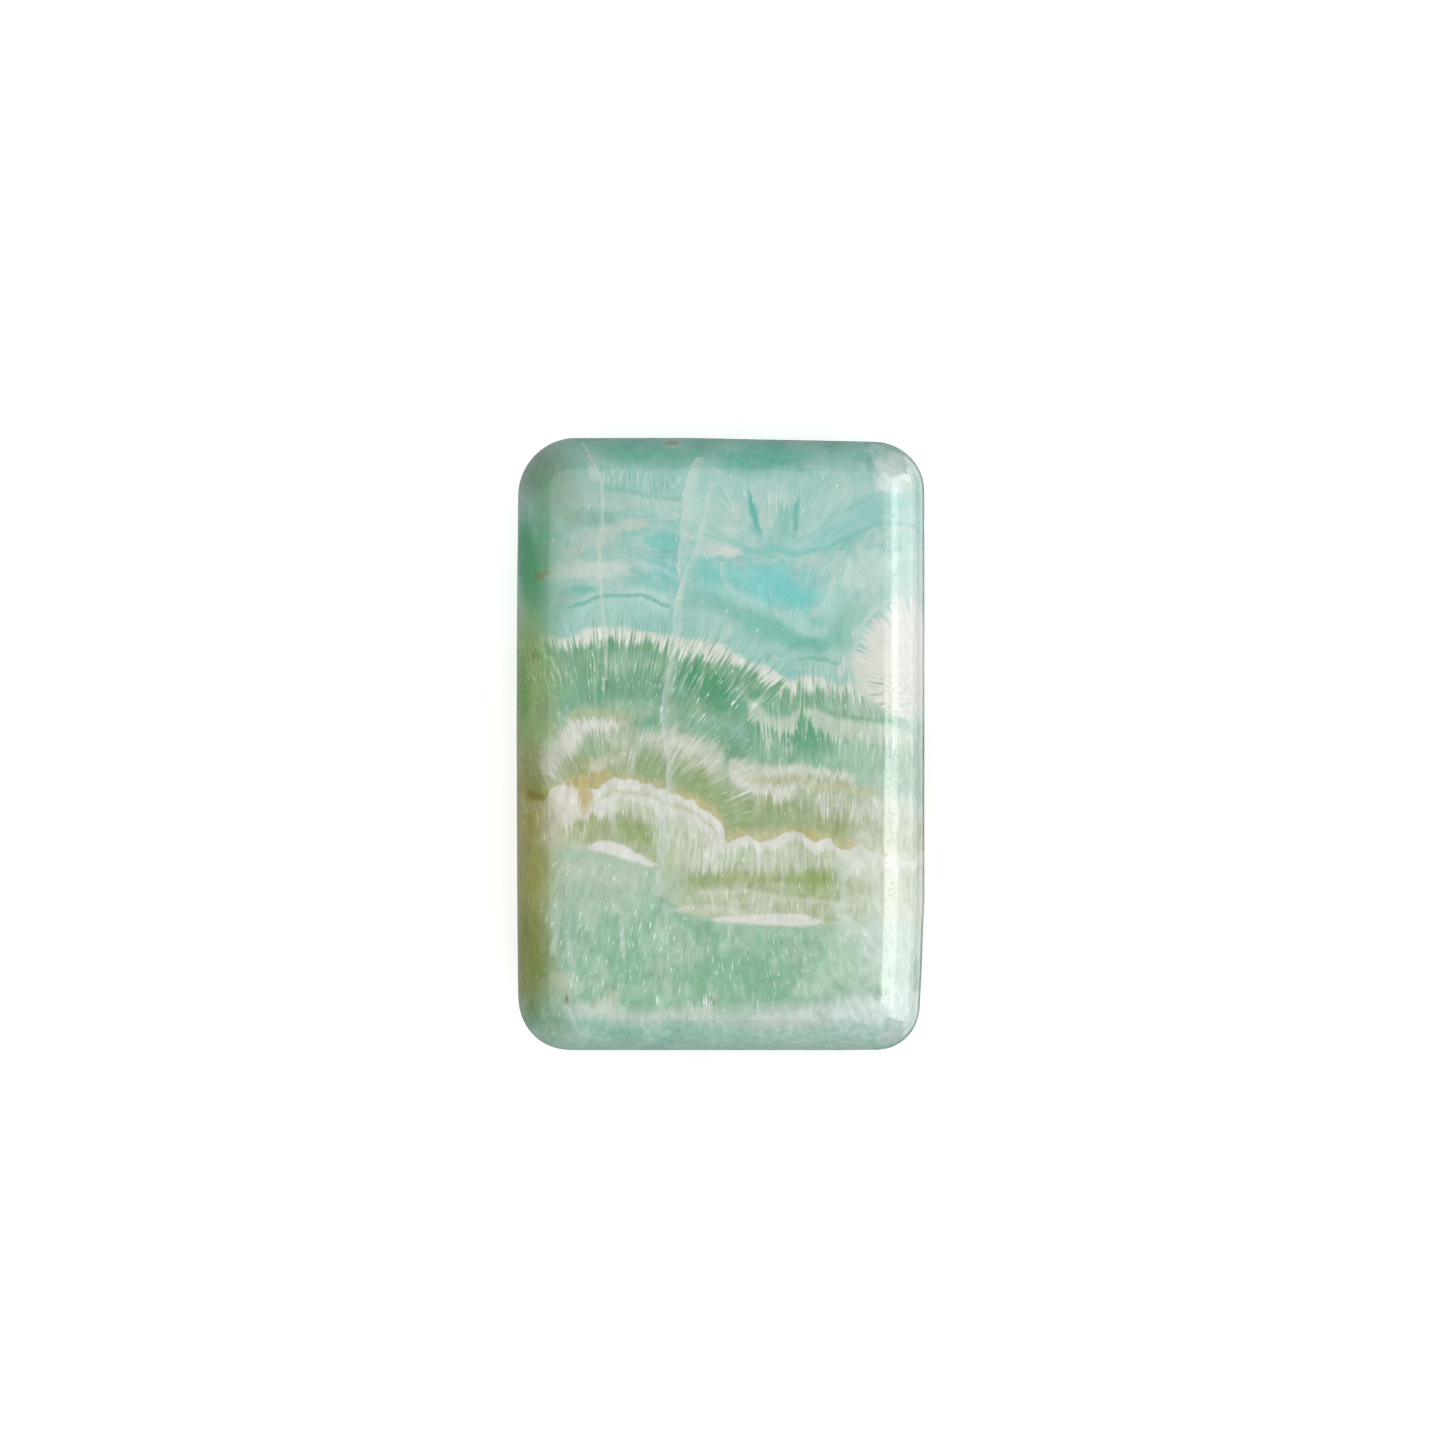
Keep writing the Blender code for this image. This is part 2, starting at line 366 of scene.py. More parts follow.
@dataclass(frozen=True)
class Stain:
    """A cloud of colour in the stone, round or long.

    Attributes:
        centre: Its middle on the upper face, in mm.
        radii: Its half length along X and Y before it is turned, in mm.
        tilt: How far it is turned, in degrees.
        colour: Its colour, as sRGB hex.
        strength: How much of what lies below it covers, 0 to 1.
        edge: How its edge runs out.
        soft: The share of its radius in which it fades.
        depth: How deep it goes into the stone, in mm.
    """

    centre: tuple[float, float]
    radii: tuple[float, float]
    tilt: float
    colour: str
    strength: float
    edge: Edge = Edge.CLOUDED
    soft: float = 0.9
    depth: float = USUAL_DEPTH


@dataclass(frozen=True)
class Crack:
    """A healed crack: a thin line with a milky rim on one side.

    Attributes:
        path: Its points from the back of the stone to its front.
        colour: Its colour, as sRGB hex.
        width: The width of the line, in mm.
        strength: How strong the line is, 0 to 1.
        rim: The width of the rim, in mm: more than 0 on the right side, less than 0 on the left.
        rim_strength: How strong the rim is, 0 to 1.
    """

    path: Line
    colour: str
    width: float
    strength: float
    rim: float
    rim_strength: float


@dataclass(frozen=True)
class Glints:
    """A place of painted glints, where cut fibres catch the light.

    Attributes:
        centre: Its middle on the upper face, in mm.
        radii: Its half length along X and Y, in mm.
        strength: How many of the fibres glint, 0 to 1.
    """

    centre: tuple[float, float]
    radii: tuple[float, float]
    strength: float


# Layers, from the front of the stone to its back. Every colour is as it is seen on the polished face.
LAYERS = (
    Layer(MILK_FOOT, "a9c4b6", "cfd6ce", 0.3, 0.03, 0.5, 1.2),
    Layer(MILK_TOP, "7cb08d", "a6c4ad", 0.45, 0.0, 1.0, 1.3),
    Layer(LENS_FLOOR, "b0bc9b", "c6cdb3", 0.5, 0.0, 0.3, 0.5),
    Layer(OLIVE_FOOT, "90a46e", "b4c096", 0.7, 0.0, 0.6, 0.8),
    Layer(OLIVE_TOP, "a6b891", "c9d0b9", 0.75, 0.0, 1.4, 0.9),
    Layer(SCALLOP_FOOT, "c2c8b4", "dcddd3", 0.5, 0.06, 0.7, 0.4),
    Layer(SCALLOP_TOP, "b1a974", "c2bb8a", 0.3, 0.0, 0.12, 0.14),
    Layer(HONEY_TOP, "849a64", "a5b27e", 0.6, 0.0, 0.5, 0.6, -0.4),
    Layer(CREAM_FOOT, "98ac86", "c1c8b3", 0.4, 0.0, 0.8, 1.2),
    Layer(CREAM_TOP, "57976f", "92b899", 0.6, 0.0, 0.8, 1.5),
    Layer(CREST_FOOT, "a4c4a8", "dcdfd8", 0.85, 0.06, 1.9, 0.7, 1.7),
    Layer(CREST_TOP, "8cc3ba", "aacdc5", 0.4, 0.0, 0.35, 0.3),
    # The back edge's darker band: its own teal, with painted shade where the edge tilts from the lights
    Layer(TOP_BAND, "72afa1", "8cbfb2", 0.3, 0.0, 0.5, 1.3),
)

BASE_DEEP = "94c4b1"
BASE_PALE = "b3d5c5"
BASE_GRAIN = 0.3

TINTS = (
    Tint(MILK_TOP, LENS_FLOOR, "72aa88", 0.3, (1.6, 3.0, 2.0)),
    Tint(MILK_TOP, LENS_FLOOR, "c0d4c4", 0.4, (1.3, 2.6, 2.0)),
    Tint(LENS_FLOOR, OLIVE_TOP, "8a9f62", 0.35, (1.4, 2.0, 2.0)),
    Tint(OLIVE_FOOT, SCALLOP_FOOT, "d5d9cc", 0.35, (1.4, 2.2, 2.0)),
    Tint(HONEY_TOP, CREAM_TOP, "96ad84", 0.4, (1.6, 2.2, 2.0)),
    Tint(HONEY_TOP, CREAM_TOP, "d8d9ce", 0.3, (1.3, 2.2, 2.0)),
    Tint(CREAM_TOP, CREST_FOOT, "569873", 0.4, (1.8, 3.0, 2.0)),
    Tint(CREAM_TOP, CREST_FOOT, "a9c6a6", 0.4, (1.5, 3.0, 2.0)),
    Tint(CREAM_TOP, CREST_FOOT, "86bdb0", 0.3, (3.0, 3.0, 2.0)),
    Tint(CREST_TOP, ARC_LOW, "aad2c8", 0.4, (3.0, 1.0, 2.0)),
    Tint(ARC_LOW, ARC_HIGH, "c5d6ce", 0.4, (4.0, 1.4, 3.0)),
    Tint(ARC_LOW, ARC_HIGH, "7cc0b6", 0.35, (4.0, 1.2, 3.0)),
)

LENSES = (
    Lens(WING_TOP, WING_FOOT, "8ccbc6", 0.35, 0.1, 0.8),
    Lens(SECOND_CREST_TOP, SECOND_CREST_FOOT, "d4dacd", 0.6, 1.9, 1.1),
    Lens(LEFT_LENS_TOP, LEFT_LENS_FOOT, "dcddd7", 0.9, 0.3, 0.5),
    Lens(RIGHT_LENS_TOP, RIGHT_LENS_FOOT, "dcdcd5", 0.9, 0.2, 0.5),
    Lens(SMALL_LENS_TOP, SMALL_LENS_FOOT, "d2d7cb", 0.7, 0.2, 0.5),
    Lens(CREAM_LENS_TOP, CREAM_LENS_FOOT, "ced3c2", 0.6, 0.25, 0.6),
)

SEAMS = (
    Seam(CREST_SEAM, 0.5, "7bab83", 0.7, 0.5, 0.4, (6.5, 21.0)),
    Seam(RIBBON_TOP, 0.8, "d8d9cc", 0.6, 0.8, 0.5, (1.0, 16.0)),
    Seam(RIBBON_FOOT, 0.9, "dadbd0", 0.6, 0.8, 0.5, (1.0, 11.5)),
    Seam(TAN_SEAM, 0.7, "bdb98e", 0.6, 0.6, 0.4, (2.9, 18.5)),
    Seam(CREAM_EDGE, 0.9, "b9b88d", 0.35, 0.8, 0.7, (-20.5, -9.0)),
    Seam(THIN_CREST, 0.5, "d5dacd", 0.45, 0.7, 0.2, (-2.6, 17.0)),
    Seam(INNER_SCALLOP, 0.5, "b3bd9c", 0.6, 0.5, 0.3, (-14.7, -0.3)),
    Seam(CURTAIN_FOOT, 0.35, "82b7a8", 0.6, 0.6, 0.15, (-14.5, -4.5)),
    Seam(ARC_LOW, 1.9, "bcd8d0", 0.5, 1.0, 0.3, (-16.0, -6.0)),
    Seam(ARC_LOW, 0.35, "62b0a0", 0.75, 0.4, 0.12, (-18.4, -6.0)),
    Seam(ARC_LOW, 1.8, "70b7a5", 0.45, 1.8, 0.5, (-4.5, 14.5)),
    Seam(BLUE_SEAM, 0.5, "6abdb4", 0.5, 0.6, 0.3, (8.5, 24.0)),
    Seam(WING_TOP, 0.4, "7abdaf", 0.4, 0.5, 0.25, (7.0, 19.5)),
    Seam(PALE_ARC, 0.9, "c2d6cf", 0.5, 0.8, 0.3, (-14.4, -4.9)),
    Seam(DARK_DASH, 0.35, "6fb39c", 0.7, 0.35, 0.2, (9.2, 14.0)),
)

HAIRS = (
    Hairs(CREST_TOP, -2.3, 1.2, "7dae8b", 0.6, False),
    Hairs(CREST_FOOT, -2.6, 1.0, "cddbca", 0.5, True),
    Hairs(SECOND_CREST_FOOT, -2.2, 2.4, "dbe3d8", 0.6, True, (4.0, 22.0)),
    Hairs(CURTAIN_FOOT, 0.3, 3.2, "bdd8d0", 0.5, True, (-14.5, -4.6)),
    Hairs(CURTAIN_FOOT, 0.3, 3.2, "78b5a7", 0.45, False, (-14.5, -4.6)),
    Hairs(CREAM_TOP, -3.4, -0.8, "dadcd1", 0.2, True),
    Hairs(HONEY_TOP, 0.0, 2.2, "7f996a", 0.35, False),
    Hairs(SCALLOP_FOOT, -2.4, 0.4, "d9dccf", 0.4, True),
    Hairs(THIN_CREST, -0.9, 0.4, "dde0d4", 0.7, True, (-2.6, 17.0)),
)

# The edges' short names, for the stains
PLAIN, CLOUDED, WISPY, FRAYED, COMBED, RAYED = Edge

STAINS = tuple(Stain(*row) for row in (
    # Aqua growth: turquoise pools, teal bands and milky clouds, from the back to the front
    # Teal along the back edge: its own colour, with painted shade
    ((-9.6, 34.7), (7.39, 1.07), 0, "72b5a0", 0.5, WISPY),
    ((4.7, 34.3), (5.72, 1.43), 2, "6cbcae", 0.5, WISPY),
    ((-15.1, 32.5), (0.6, 0.95), 20, "c9dbd2", 0.7),
    ((-16.7, 29.3), (2.6, 0.95), 0, "b4cdc3", 0.7, WISPY),
    ((-9.6, 28.6), (5.2, 1.1), -6, "b1cfc6", 0.7, WISPY),
    ((-17.2, 26.9), (3.1, 0.95), -4, "8db3a1", 0.7, WISPY),
    ((-10.1, 26.3), (2.4, 0.72), 12, "c6d0c2", 0.8, WISPY),
    ((-13.4, 25.7), (0.83, 0.48), 0, "cbd5ca", 0.6, WISPY),
    ((-16.3, 24.4), (3.1, 0.95), -4, "c0d3ca", 0.8, WISPY),
    ((-17.7, 23.1), (1.7, 0.72), -8, "cad2c4", 0.7, WISPY),
    ((-8.9, 24.1), (2.4, 0.72), 0, "b4d3cc", 0.6, WISPY),
    ((-6.7, 24.1), (2.1, 0.72), -4, "72c4bb", 0.75, WISPY),
    ((-15.6, 20.9), (4.3, 1.2), 0, "d0d9d1", 0.9, WISPY),
    ((-11.7, 20.0), (1.7, 0.95), 0, "c3d3cb", 0.6, WISPY),
    ((-6.7, 20.7), (2.4, 0.83), -25, "62bfb8", 0.85, WISPY),
    ((-8.2, 19.1), (3.3, 0.72), -8, "7dc3b9", 0.7, WISPY),
    ((-17.0, 18.5), (2.4, 0.48), -4, "71b9aa", 0.8, WISPY),
    ((-9.6, 17.9), (4.1, 0.48), 0, "9fd0c8", 0.5, WISPY),
    ((-19.1, 17.0), (1.7, 1.7), 0, "93b7aa", 0.6, WISPY),
    ((-11.7, 16.1), (4.8, 0.83), 0, "a6d0c7", 0.6, WISPY),
    ((-3.4, 28.4), (0.95, 4.1), -3, "bed9d0", 0.6),
    ((-1.0, 29.0), (1.7, 3.1), -10, "b3d2c8", 0.5),
    ((-1.0, 20.3), (2.62, 1.67), -20, "7cc9c2", 0.7, CLOUDED, 1.3),
    ((1.1, 22.9), (1.4, 0.6), 0, "d2d9d2", 0.9, WISPY),
    ((-0.9, 23.2), (1.2, 0.95), 0, "c6d6ce", 0.7),
    ((6.5, 23.1), (2.9, 0.48), -2, "6fc3ba", 0.7, WISPY),
    ((9.7, 23.6), (1.7, 0.48), 0, "b6d6d0", 0.7, WISPY),
    ((6.6, 18.8), (5.24, 2.62), -12, "7dcdc8", 0.85, CLOUDED, 1.4),
    ((7.9, 18.2), (1.91, 1.91), -35, "70c8c4", 0.6, CLOUDED, 1.4),
    ((3.8, 16.6), (5.5, 0.83), -24, "abd5cd", 0.75, WISPY),
    ((9.8, 14.2), (3.1, 1.1), -30, "acd3ca", 0.7),
    ((12.8, 16.6), (1.07, 3.1), -28, "a4d2ca", 0.6),
    ((15.4, 15.3), (1.9, 1.4), 40, "84bfaa", 0.65),
    ((17.6, 15.6), (1.1, 1.7), -35, "8bc4b2", 0.5),
    ((17.6, 21.2), (3.3, 1.9), 30, "bfdbd2", 0.7),
    ((4.7, 14.1), (5.48, 1.19), -26, "76c0ad", 0.6, WISPY),
    ((10.9, 12.0), (1.9, 0.83), 0, "62b39d", 0.65),
    ((14.6, 12.9), (1.4, 1.9), 20, "74bba6", 0.55),
    ((5.3, 26.6), (0.72, 1.4), 0, "c8cfc0", 0.5),
    ((1.7, 27.5), (0.72, 1.2), 0, "c4ccb9", 0.4),
    ((8.3, 29.0), (7.39, 3.34), -8, "b8d6cf", 0.3),
    ((0.8, 28.4), (1.07, 3.1), 12, "cbdad2", 0.35, COMBED),
    ((4.1, 29.0), (1.43, 2.86), 10, "c0d3ca", 0.3, COMBED),
    ((6.6, 28.4), (1.31, 3.1), -8, "d2dbd5", 0.5, COMBED),
    ((10.2, 29.6), (1.55, 2.86), -22, "cedbd6", 0.4, COMBED),
    ((13.3, 31.6), (2.86, 1.67), -45, "c5d8d2", 0.4, COMBED),
    ((4.0, 27.2), (0.42, 2.5), 14, "5cb2a6", 0.85, FRAYED),
    ((9.0, 27.3), (0.36, 2.1), -4, "62b3a7", 0.7, FRAYED),
    ((7.6, 26.8), (0.95, 1.7), -10, "7cbdb0", 0.6, FRAYED),
    # The fan of pale fibres on the right
    ((24.6, 10.6), (8.1, 6.91), 0, "dedfd7", 0.95, RAYED, 0.25),
    ((20.9, 7.5), (5.96, 3.58), -30, "d9dcd1", 0.9, RAYED, 0.3),
    ((22.0, 12.3), (0.95, 5.2), 4, "cfdccd", 0.5),
    # Green growth
    ((-0.9, 6.6), (3.81, 2.03), -40, "429566", 0.8, FRAYED),
    ((-10.5, 7.0), (3.8, 1.8), 0, "6aa081", 0.6, FRAYED),
    ((10.2, 1.0), (2.9, 2.0), 0, "4f9b70", 0.7, FRAYED),
    ((4.7, 3.3), (2.1, 2.1), -45, "68aa81", 0.5, FRAYED),
    ((-17.3, 9.3), (3.1, 1.7), 0, "7fa87f", 0.5),
    ((-18.5, 6.3), (2.1, 1.4), 0, "79a78a", 0.5),
    ((-13.8, 3.7), (5.2, 0.83), 0, "a9bb98", 0.6, WISPY),
    ((-9.6, 4.4), (4.5, 0.95), -6, "9fbca3", 0.5, WISPY),
    ((13.6, -1.1), (6.0, 2.4), 0, "93bf9f", 0.5),
    ((1.5, 5.4), (0.6, 3.1), -22, "9ed0c6", 0.4, COMBED),
    ((-11.5, 9.7), (1.7, 1.4), 0, "93bb96", 0.5),
    # Cream growth
    ((-14.7, 2.4), (3.1, 0.72), 2, "d9dad0", 0.9, FRAYED),
    ((-17.9, 0.6), (1.5, 1.8), -28, "d6d6cb", 0.9, FRAYED),
    ((-20.0, -2.3), (1.4, 1.7), -12, "c9cbbd", 0.7, FRAYED, 0.9, 30.0),
    ((-13.5, 0.4), (0.72, 1.2), 0, "d3d8cc", 0.7, COMBED),
    ((-15.1, -0.4), (1.7, 1.4), 0, "93b08f", 0.7, FRAYED),
    ((-14.7, -2.4), (1.2, 0.83), 12, "d2d0bd", 0.8, WISPY),
    ((-17.3, -2.5), (1.91, 0.95), 10, "a2a980", 0.75, FRAYED),
    ((-4.8, 0.6), (4.77, 0.83), -10, "d4d6c8", 0.62, FRAYED),
    ((-1.0, -1.8), (1.4, 1.4), -40, "d0d3c4", 0.7, FRAYED),
    ((-10.4, -1.7), (0.72, 1.4), -6, "d0d4c6", 0.7, COMBED),
    ((-8.9, -1.8), (1.1, 1.8), 0, "8daa84", 0.65, FRAYED),
    ((-6.7, -3.1), (3.34, 1.79), -22, "8ca678", 0.65, FRAYED),
    ((2.8, -3.9), (1.9, 1.3), -20, "d5d7cb", 0.8, FRAYED),
    ((5.9, -5.6), (3.1, 0.72), -6, "d6d8cd", 0.75, FRAYED),
    ((12.8, -6.3), (1.3, 2.0), 10, "d6d8cd", 0.8, COMBED),
    ((15.6, -8.2), (0.72, 2.1), -6, "d8dacf", 0.75, COMBED),
    ((18.4, -8.2), (1.1, 2.1), -10, "d4d7cb", 0.6, COMBED),
    ((8.3, -3.5), (4.1, 0.6), 4, "d2d5c8", 0.6, FRAYED),
    ((14.0, -3.6), (1.9, 0.48), 0, "d3d6c9", 0.6, FRAYED),
    ((-1.0, -6.2), (3.1, 1.1), -28, "93ac7c", 0.6, FRAYED),
    ((5.3, -8.5), (4.5, 1.1), -3, "9aaf82", 0.6, FRAYED),
    ((10.4, -6.8), (0.72, 1.7), 0, "9fb288", 0.5, FRAYED),
    ((14.8, -9.4), (4.1, 0.83), -8, "a7b184", 0.5, FRAYED),
    # Honey, white scallops and olive below them
    ((-15.8, -4.3), (2.86, 0.72), 14, "bcb078", 0.85),
    ((-16.1, -6.6), (0.83, 1.67), -8, "bfb07c", 0.9),
    ((-18.3, -7.5), (1.31, 2.62), -4, "d6d2c7", 0.95, FRAYED, 0.3),
    ((-20.1, -9.4), (1.2, 1.9), -8, "c0bba6", 0.7, FRAYED, 0.9, 30.0),
    ((-20.0, -11.3), (2.1, 1.2), 0, "bfc2ac", 0.6, FRAYED, 0.9, 30.0),
    ((-13.6, -7.5), (1.4, 1.4), 0, "dcddd3", 0.85, FRAYED, 0.6),
    ((-10.1, -10.6), (2.9, 1.7), -16, "8ca463", 0.7),
    ((-17.3, -10.6), (3.1, 1.1), 0, "b0b693", 0.5),
    ((-3.6, -10.4), (2.9, 1.1), -30, "b9c6a8", 0.5),
    ((-2.4, -13.0), (1.2, 1.8), 0, "d9dace", 0.9, COMBED),
    ((-2.2, -16.1), (2.1, 0.95), 0, "8fa66a", 0.6, FRAYED),
    ((-5.8, -15.7), (1.7, 2.6), 0, "b4c2a2", 0.6),
    ((3.9, -13.7), (0.72, 1.7), 0, "d3d8ca", 0.7, COMBED),
    ((1.8, -13.5), (0.95, 1.2), 0, "cdd4c4", 0.5, COMBED),
    ((7.6, -13.6), (0.95, 1.7), 0, "d6d9cd", 0.75, COMBED),
    ((10.9, -13.9), (0.72, 1.4), -12, "d3d8ca", 0.6, COMBED),
    ((15.7, -14.4), (2.6, 1.7), 0, "ced6c6", 0.6),
    ((10.9, -16.1), (2.9, 1.1), -6, "8ca358", 0.6),
    ((2.9, -15.7), (3.3, 0.72), 0, "97aa68", 0.5),
    ((17.2, -18.7), (1.9, 1.7), 0, "bccaaf", 0.5),
    # Lower green growth and the milky foot
    ((-16.7, -17.8), (5.96, 2.38), 0, "acc2a9", 0.6, WISPY),
    ((-15.6, -15.4), (6.4, 1.7), -8, "b0c1ac", 0.75),
    ((-11.0, -16.8), (7.15, 2.38), -4, "adc4ad", 0.6, WISPY),
    ((-14.0, -14.8), (6.44, 1.55), -10, "b3c6b0", 0.7, PLAIN, 1.2),
    ((-17.2, -14.9), (2.4, 0.72), 0, "c1cdbf", 0.5),
    ((-12.0, -16.3), (2.9, 0.72), -10, "bccab9", 0.5),
    ((8.3, -22.5), (7.2, 0.95), -2, "a2c2a7", 0.5, WISPY),
    ((1.7, -26.8), (5.2, 2.4), 0, "7fb391", 0.7),
    ((6.5, -28.2), (3.1, 1.9), 20, "84b795", 0.5),
    ((-12.6, -23.5), (3.1, 3.1), 0, "88b896", 0.6),
    ((-18.8, -21.7), (0.48, 2.6), 6, "83ab88", 0.5, FRAYED),
    ((-19.6, -22.3), (0.36, 3.3), -10, "b9cfbb", 0.5, FRAYED),
    ((-17.8, -25.3), (0.36, 3.1), 12, "bdd1c0", 0.5, FRAYED),
    ((-15.3, -22.9), (0.36, 4.1), -14, "b4ccb6", 0.45, FRAYED),
    ((-11.7, -22.9), (0.36, 3.1), 4, "c3d6c6", 0.5, FRAYED),
    ((-19.1, -28.8), (2.6, 1.4), 0, "b3c8b5", 0.5),
    ((-19.1, -28.5), (1.2, 1.2), 0, "c2c0a8", 0.4),
    ((-7.8, -29.4), (3.6, 1.2), 0, "a8c9b4", 0.5),
    ((-13.9, -31.2), (1.43, 1.07), 0, "d3d6cb", 0.6, FRAYED, 1.2),
    ((-16.4, -31.6), (1.4, 0.83), 0, "c3d2cb", 0.6),
    ((-12.9, -29.7), (0.3, 1.1), 6, "b39a68", 0.7),
    ((16.1, -25.3), (4.77, 4.77), 0, "bbd4c0", 0.65),
    ((10.9, -29.2), (1.9, 1.2), 0, "c0d2c2", 0.5),
    ((9.5, -33.0), (8.3, 0.95), 0, "c0d0c5", 0.5, WISPY),
    ((9.5, -35.4), (11.32, 1.67), 0, "b4d8c6", 0.5, PLAIN, 1.2, 30.0),
    # Paler towards the right edge at the front: painted light from the right
    ((19.6, -32.4), (5.2, 3.1), 0, "c9dfda", 0.75),
    ((22.0, -25.9), (1.43, 4.05), 0, "c8ddd1", 0.4),
    # Darker towards the front left corner
    ((-20.6, -32.4), (3.1, 3.1), -30, "7d9f7c", 0.65, PLAIN, 1.5, 30.0),
    ((-22.7, -32.1), (0.95, 2.38), -20, "6f9272", 0.6, PLAIN, 1.4, 30.0),
    # Painted light on the right side and at the back right corner, painted shade in the back left corner
    ((20.9, -21.7), (4.29, 11.92), 0, "dde9df", 0.45),
    ((20.2, -3.9), (6.2, 25.0), 0, "ccdcd2", 0.3),
    ((18.5, -12.8), (2.86, 6.2), 0, "e4e6d8", 0.4, PLAIN, 1.4),
    ((23.7, 5.5), (1.91, 5.24), 0, "b2d2c0", 0.8, PLAIN, 1.2),
    ((22.9, 23.2), (1.55, 5.48), 0, "d6eeea", 0.3, PLAIN, 1.2),
    ((21.2, 33.4), (3.22, 2.86), 0, "d6e5df", 0.85),
    # Two small marks at the back right
    ((22.5, 31.0), (0.83, 0.24), -30, "c9b98f", 0.6, PLAIN),
    ((17.8, 33.5), (0.48, 1.4), 6, "7fb5a8", 0.7),
    # Painted shade in the back left corner
    ((-21.7, 32.8), (4.05, 4.53), 28, "7d9480", 0.85, PLAIN, 1.5, 30.0),
    ((-20.8, 30.5), (1.91, 1.91), 0, "64916d", 0.45, PLAIN, 1.5, 30.0),
    ((-20.0, 28.4), (2.62, 2.15), 0, "93ae9a", 0.5, PLAIN, 1.5, 30.0),
    # The left edge, darker than the face: its deeper colour, and painted shade as it turns from the lights
    ((-19.8, 23.6), (2.62, 7.39), -4, "8fb09c", 0.5, PLAIN, 1.6, 30.0),
    ((-16.1, 27.2), (5.36, 7.15), 0, "8fac98", 0.3, PLAIN, 1.6, 30.0),
    ((-23.3, 21.8), (1.55, 6.44), 10, "42996f", 0.88, PLAIN, 1.0, 16.0),
    ((-21.9, 21.8), (1.91, 5.96), -6, "6a9f78", 0.75, PLAIN, 1.5, 30.0),
    ((-20.9, 15.3), (2.15, 3.58), 0, "7aa688", 0.6, PLAIN, 1.4, 30.0),
    ((-25.6, 6.3), (5.72, 10.73), 0, "94ae78", 0.9, PLAIN, 0.8, 30.0),
    ((-24.0, 6.3), (1.19, 4.05), 0, "689c4e", 0.6, PLAIN, 1.0, 16.0),
    ((-25.8, -12.8), (5.96, 13.11), 0, "a09c5e", 0.9, PLAIN, 0.8, 30.0),
    ((-25.6, -25.6), (5.72, 6.44), 0, "8a8f52", 0.85, PLAIN, 0.8, 30.0),
    ((-22.2, -3.2), (1.5, 2.6), 0, "8c9268", 0.6, CLOUDED, 0.9, 30.0),
    ((-22.0, -6.2), (1.4, 0.6), -14, "7d7238", 0.7, CLOUDED, 0.9, 30.0),
    ((-20.6, 3.7), (1.2, 2.6), 0, "93a383", 0.5, CLOUDED, 0.9, 30.0),
    ((-22.0, -10.4), (1.9, 3.1), 0, "a09a72", 0.6, COMBED, 0.9, 30.0),
    ((-22.9, 12.3), (1.4, 1.7), 0, "8a9d63", 0.6, COMBED, 0.9, 30.0),
    ((-22.1, 10.5), (0.72, 0.72), 0, "7f8148", 0.5),
    # Rusty specks
    ((-5.8, 36.1), (0.95, 0.3), 0, "a5835a", 0.7, PLAIN),
    ((-15.7, 34.3), (0.24, 1.19), 30, "b3a684", 0.6, PLAIN),
    ((-21.7, 20.1), (0.6, 0.48), 10, "8a7a4e", 0.45, PLAIN),
    ((-20.8, 20.4), (0.48, 0.36), 0, "967050", 0.35, PLAIN),
    ((-18.3, -30.5), (0.14, 0.48), 10, "6b5730", 0.6, FRAYED, 0.8),
    ((-0.9, -30.6), (0.26, 0.38), 0, "937f50", 0.7, FRAYED, 0.8),
    ((-17.0, -6.8), (0.19, 0.72), 0, "8a7a50", 0.6, PLAIN),
))

CRACKS = (
    Crack(WEST_CRACK, "cdd6c8", 0.18, 0.6, -0.5, 0.2),
    Crack(MIDDLE_CRACK, "cfdad2", 0.22, 0.6, 1.3, 0.45),
    Crack(BRANCH_CRACK, "c9dcd6", 0.2, 0.5, 1.0, 0.3),
    Crack(SHORT_CRACK, "d3dcd2", 0.25, 0.5, 0.8, 0.25),
    Crack(EAST_CRACK, "cbdcd6", 0.25, 0.5, 1.0, 0.3),
    Crack(WEST_FOOT_CRACK, "cfe0da", 0.2, 0.5, -0.8, 0.25),
    Crack(MID_FOOT_CRACK, "cfe0da", 0.2, 0.4, -0.8, 0.2),
    Crack(EAST_FOOT_CRACK, "cfe0da", 0.2, 0.4, 0.8, 0.2),
)
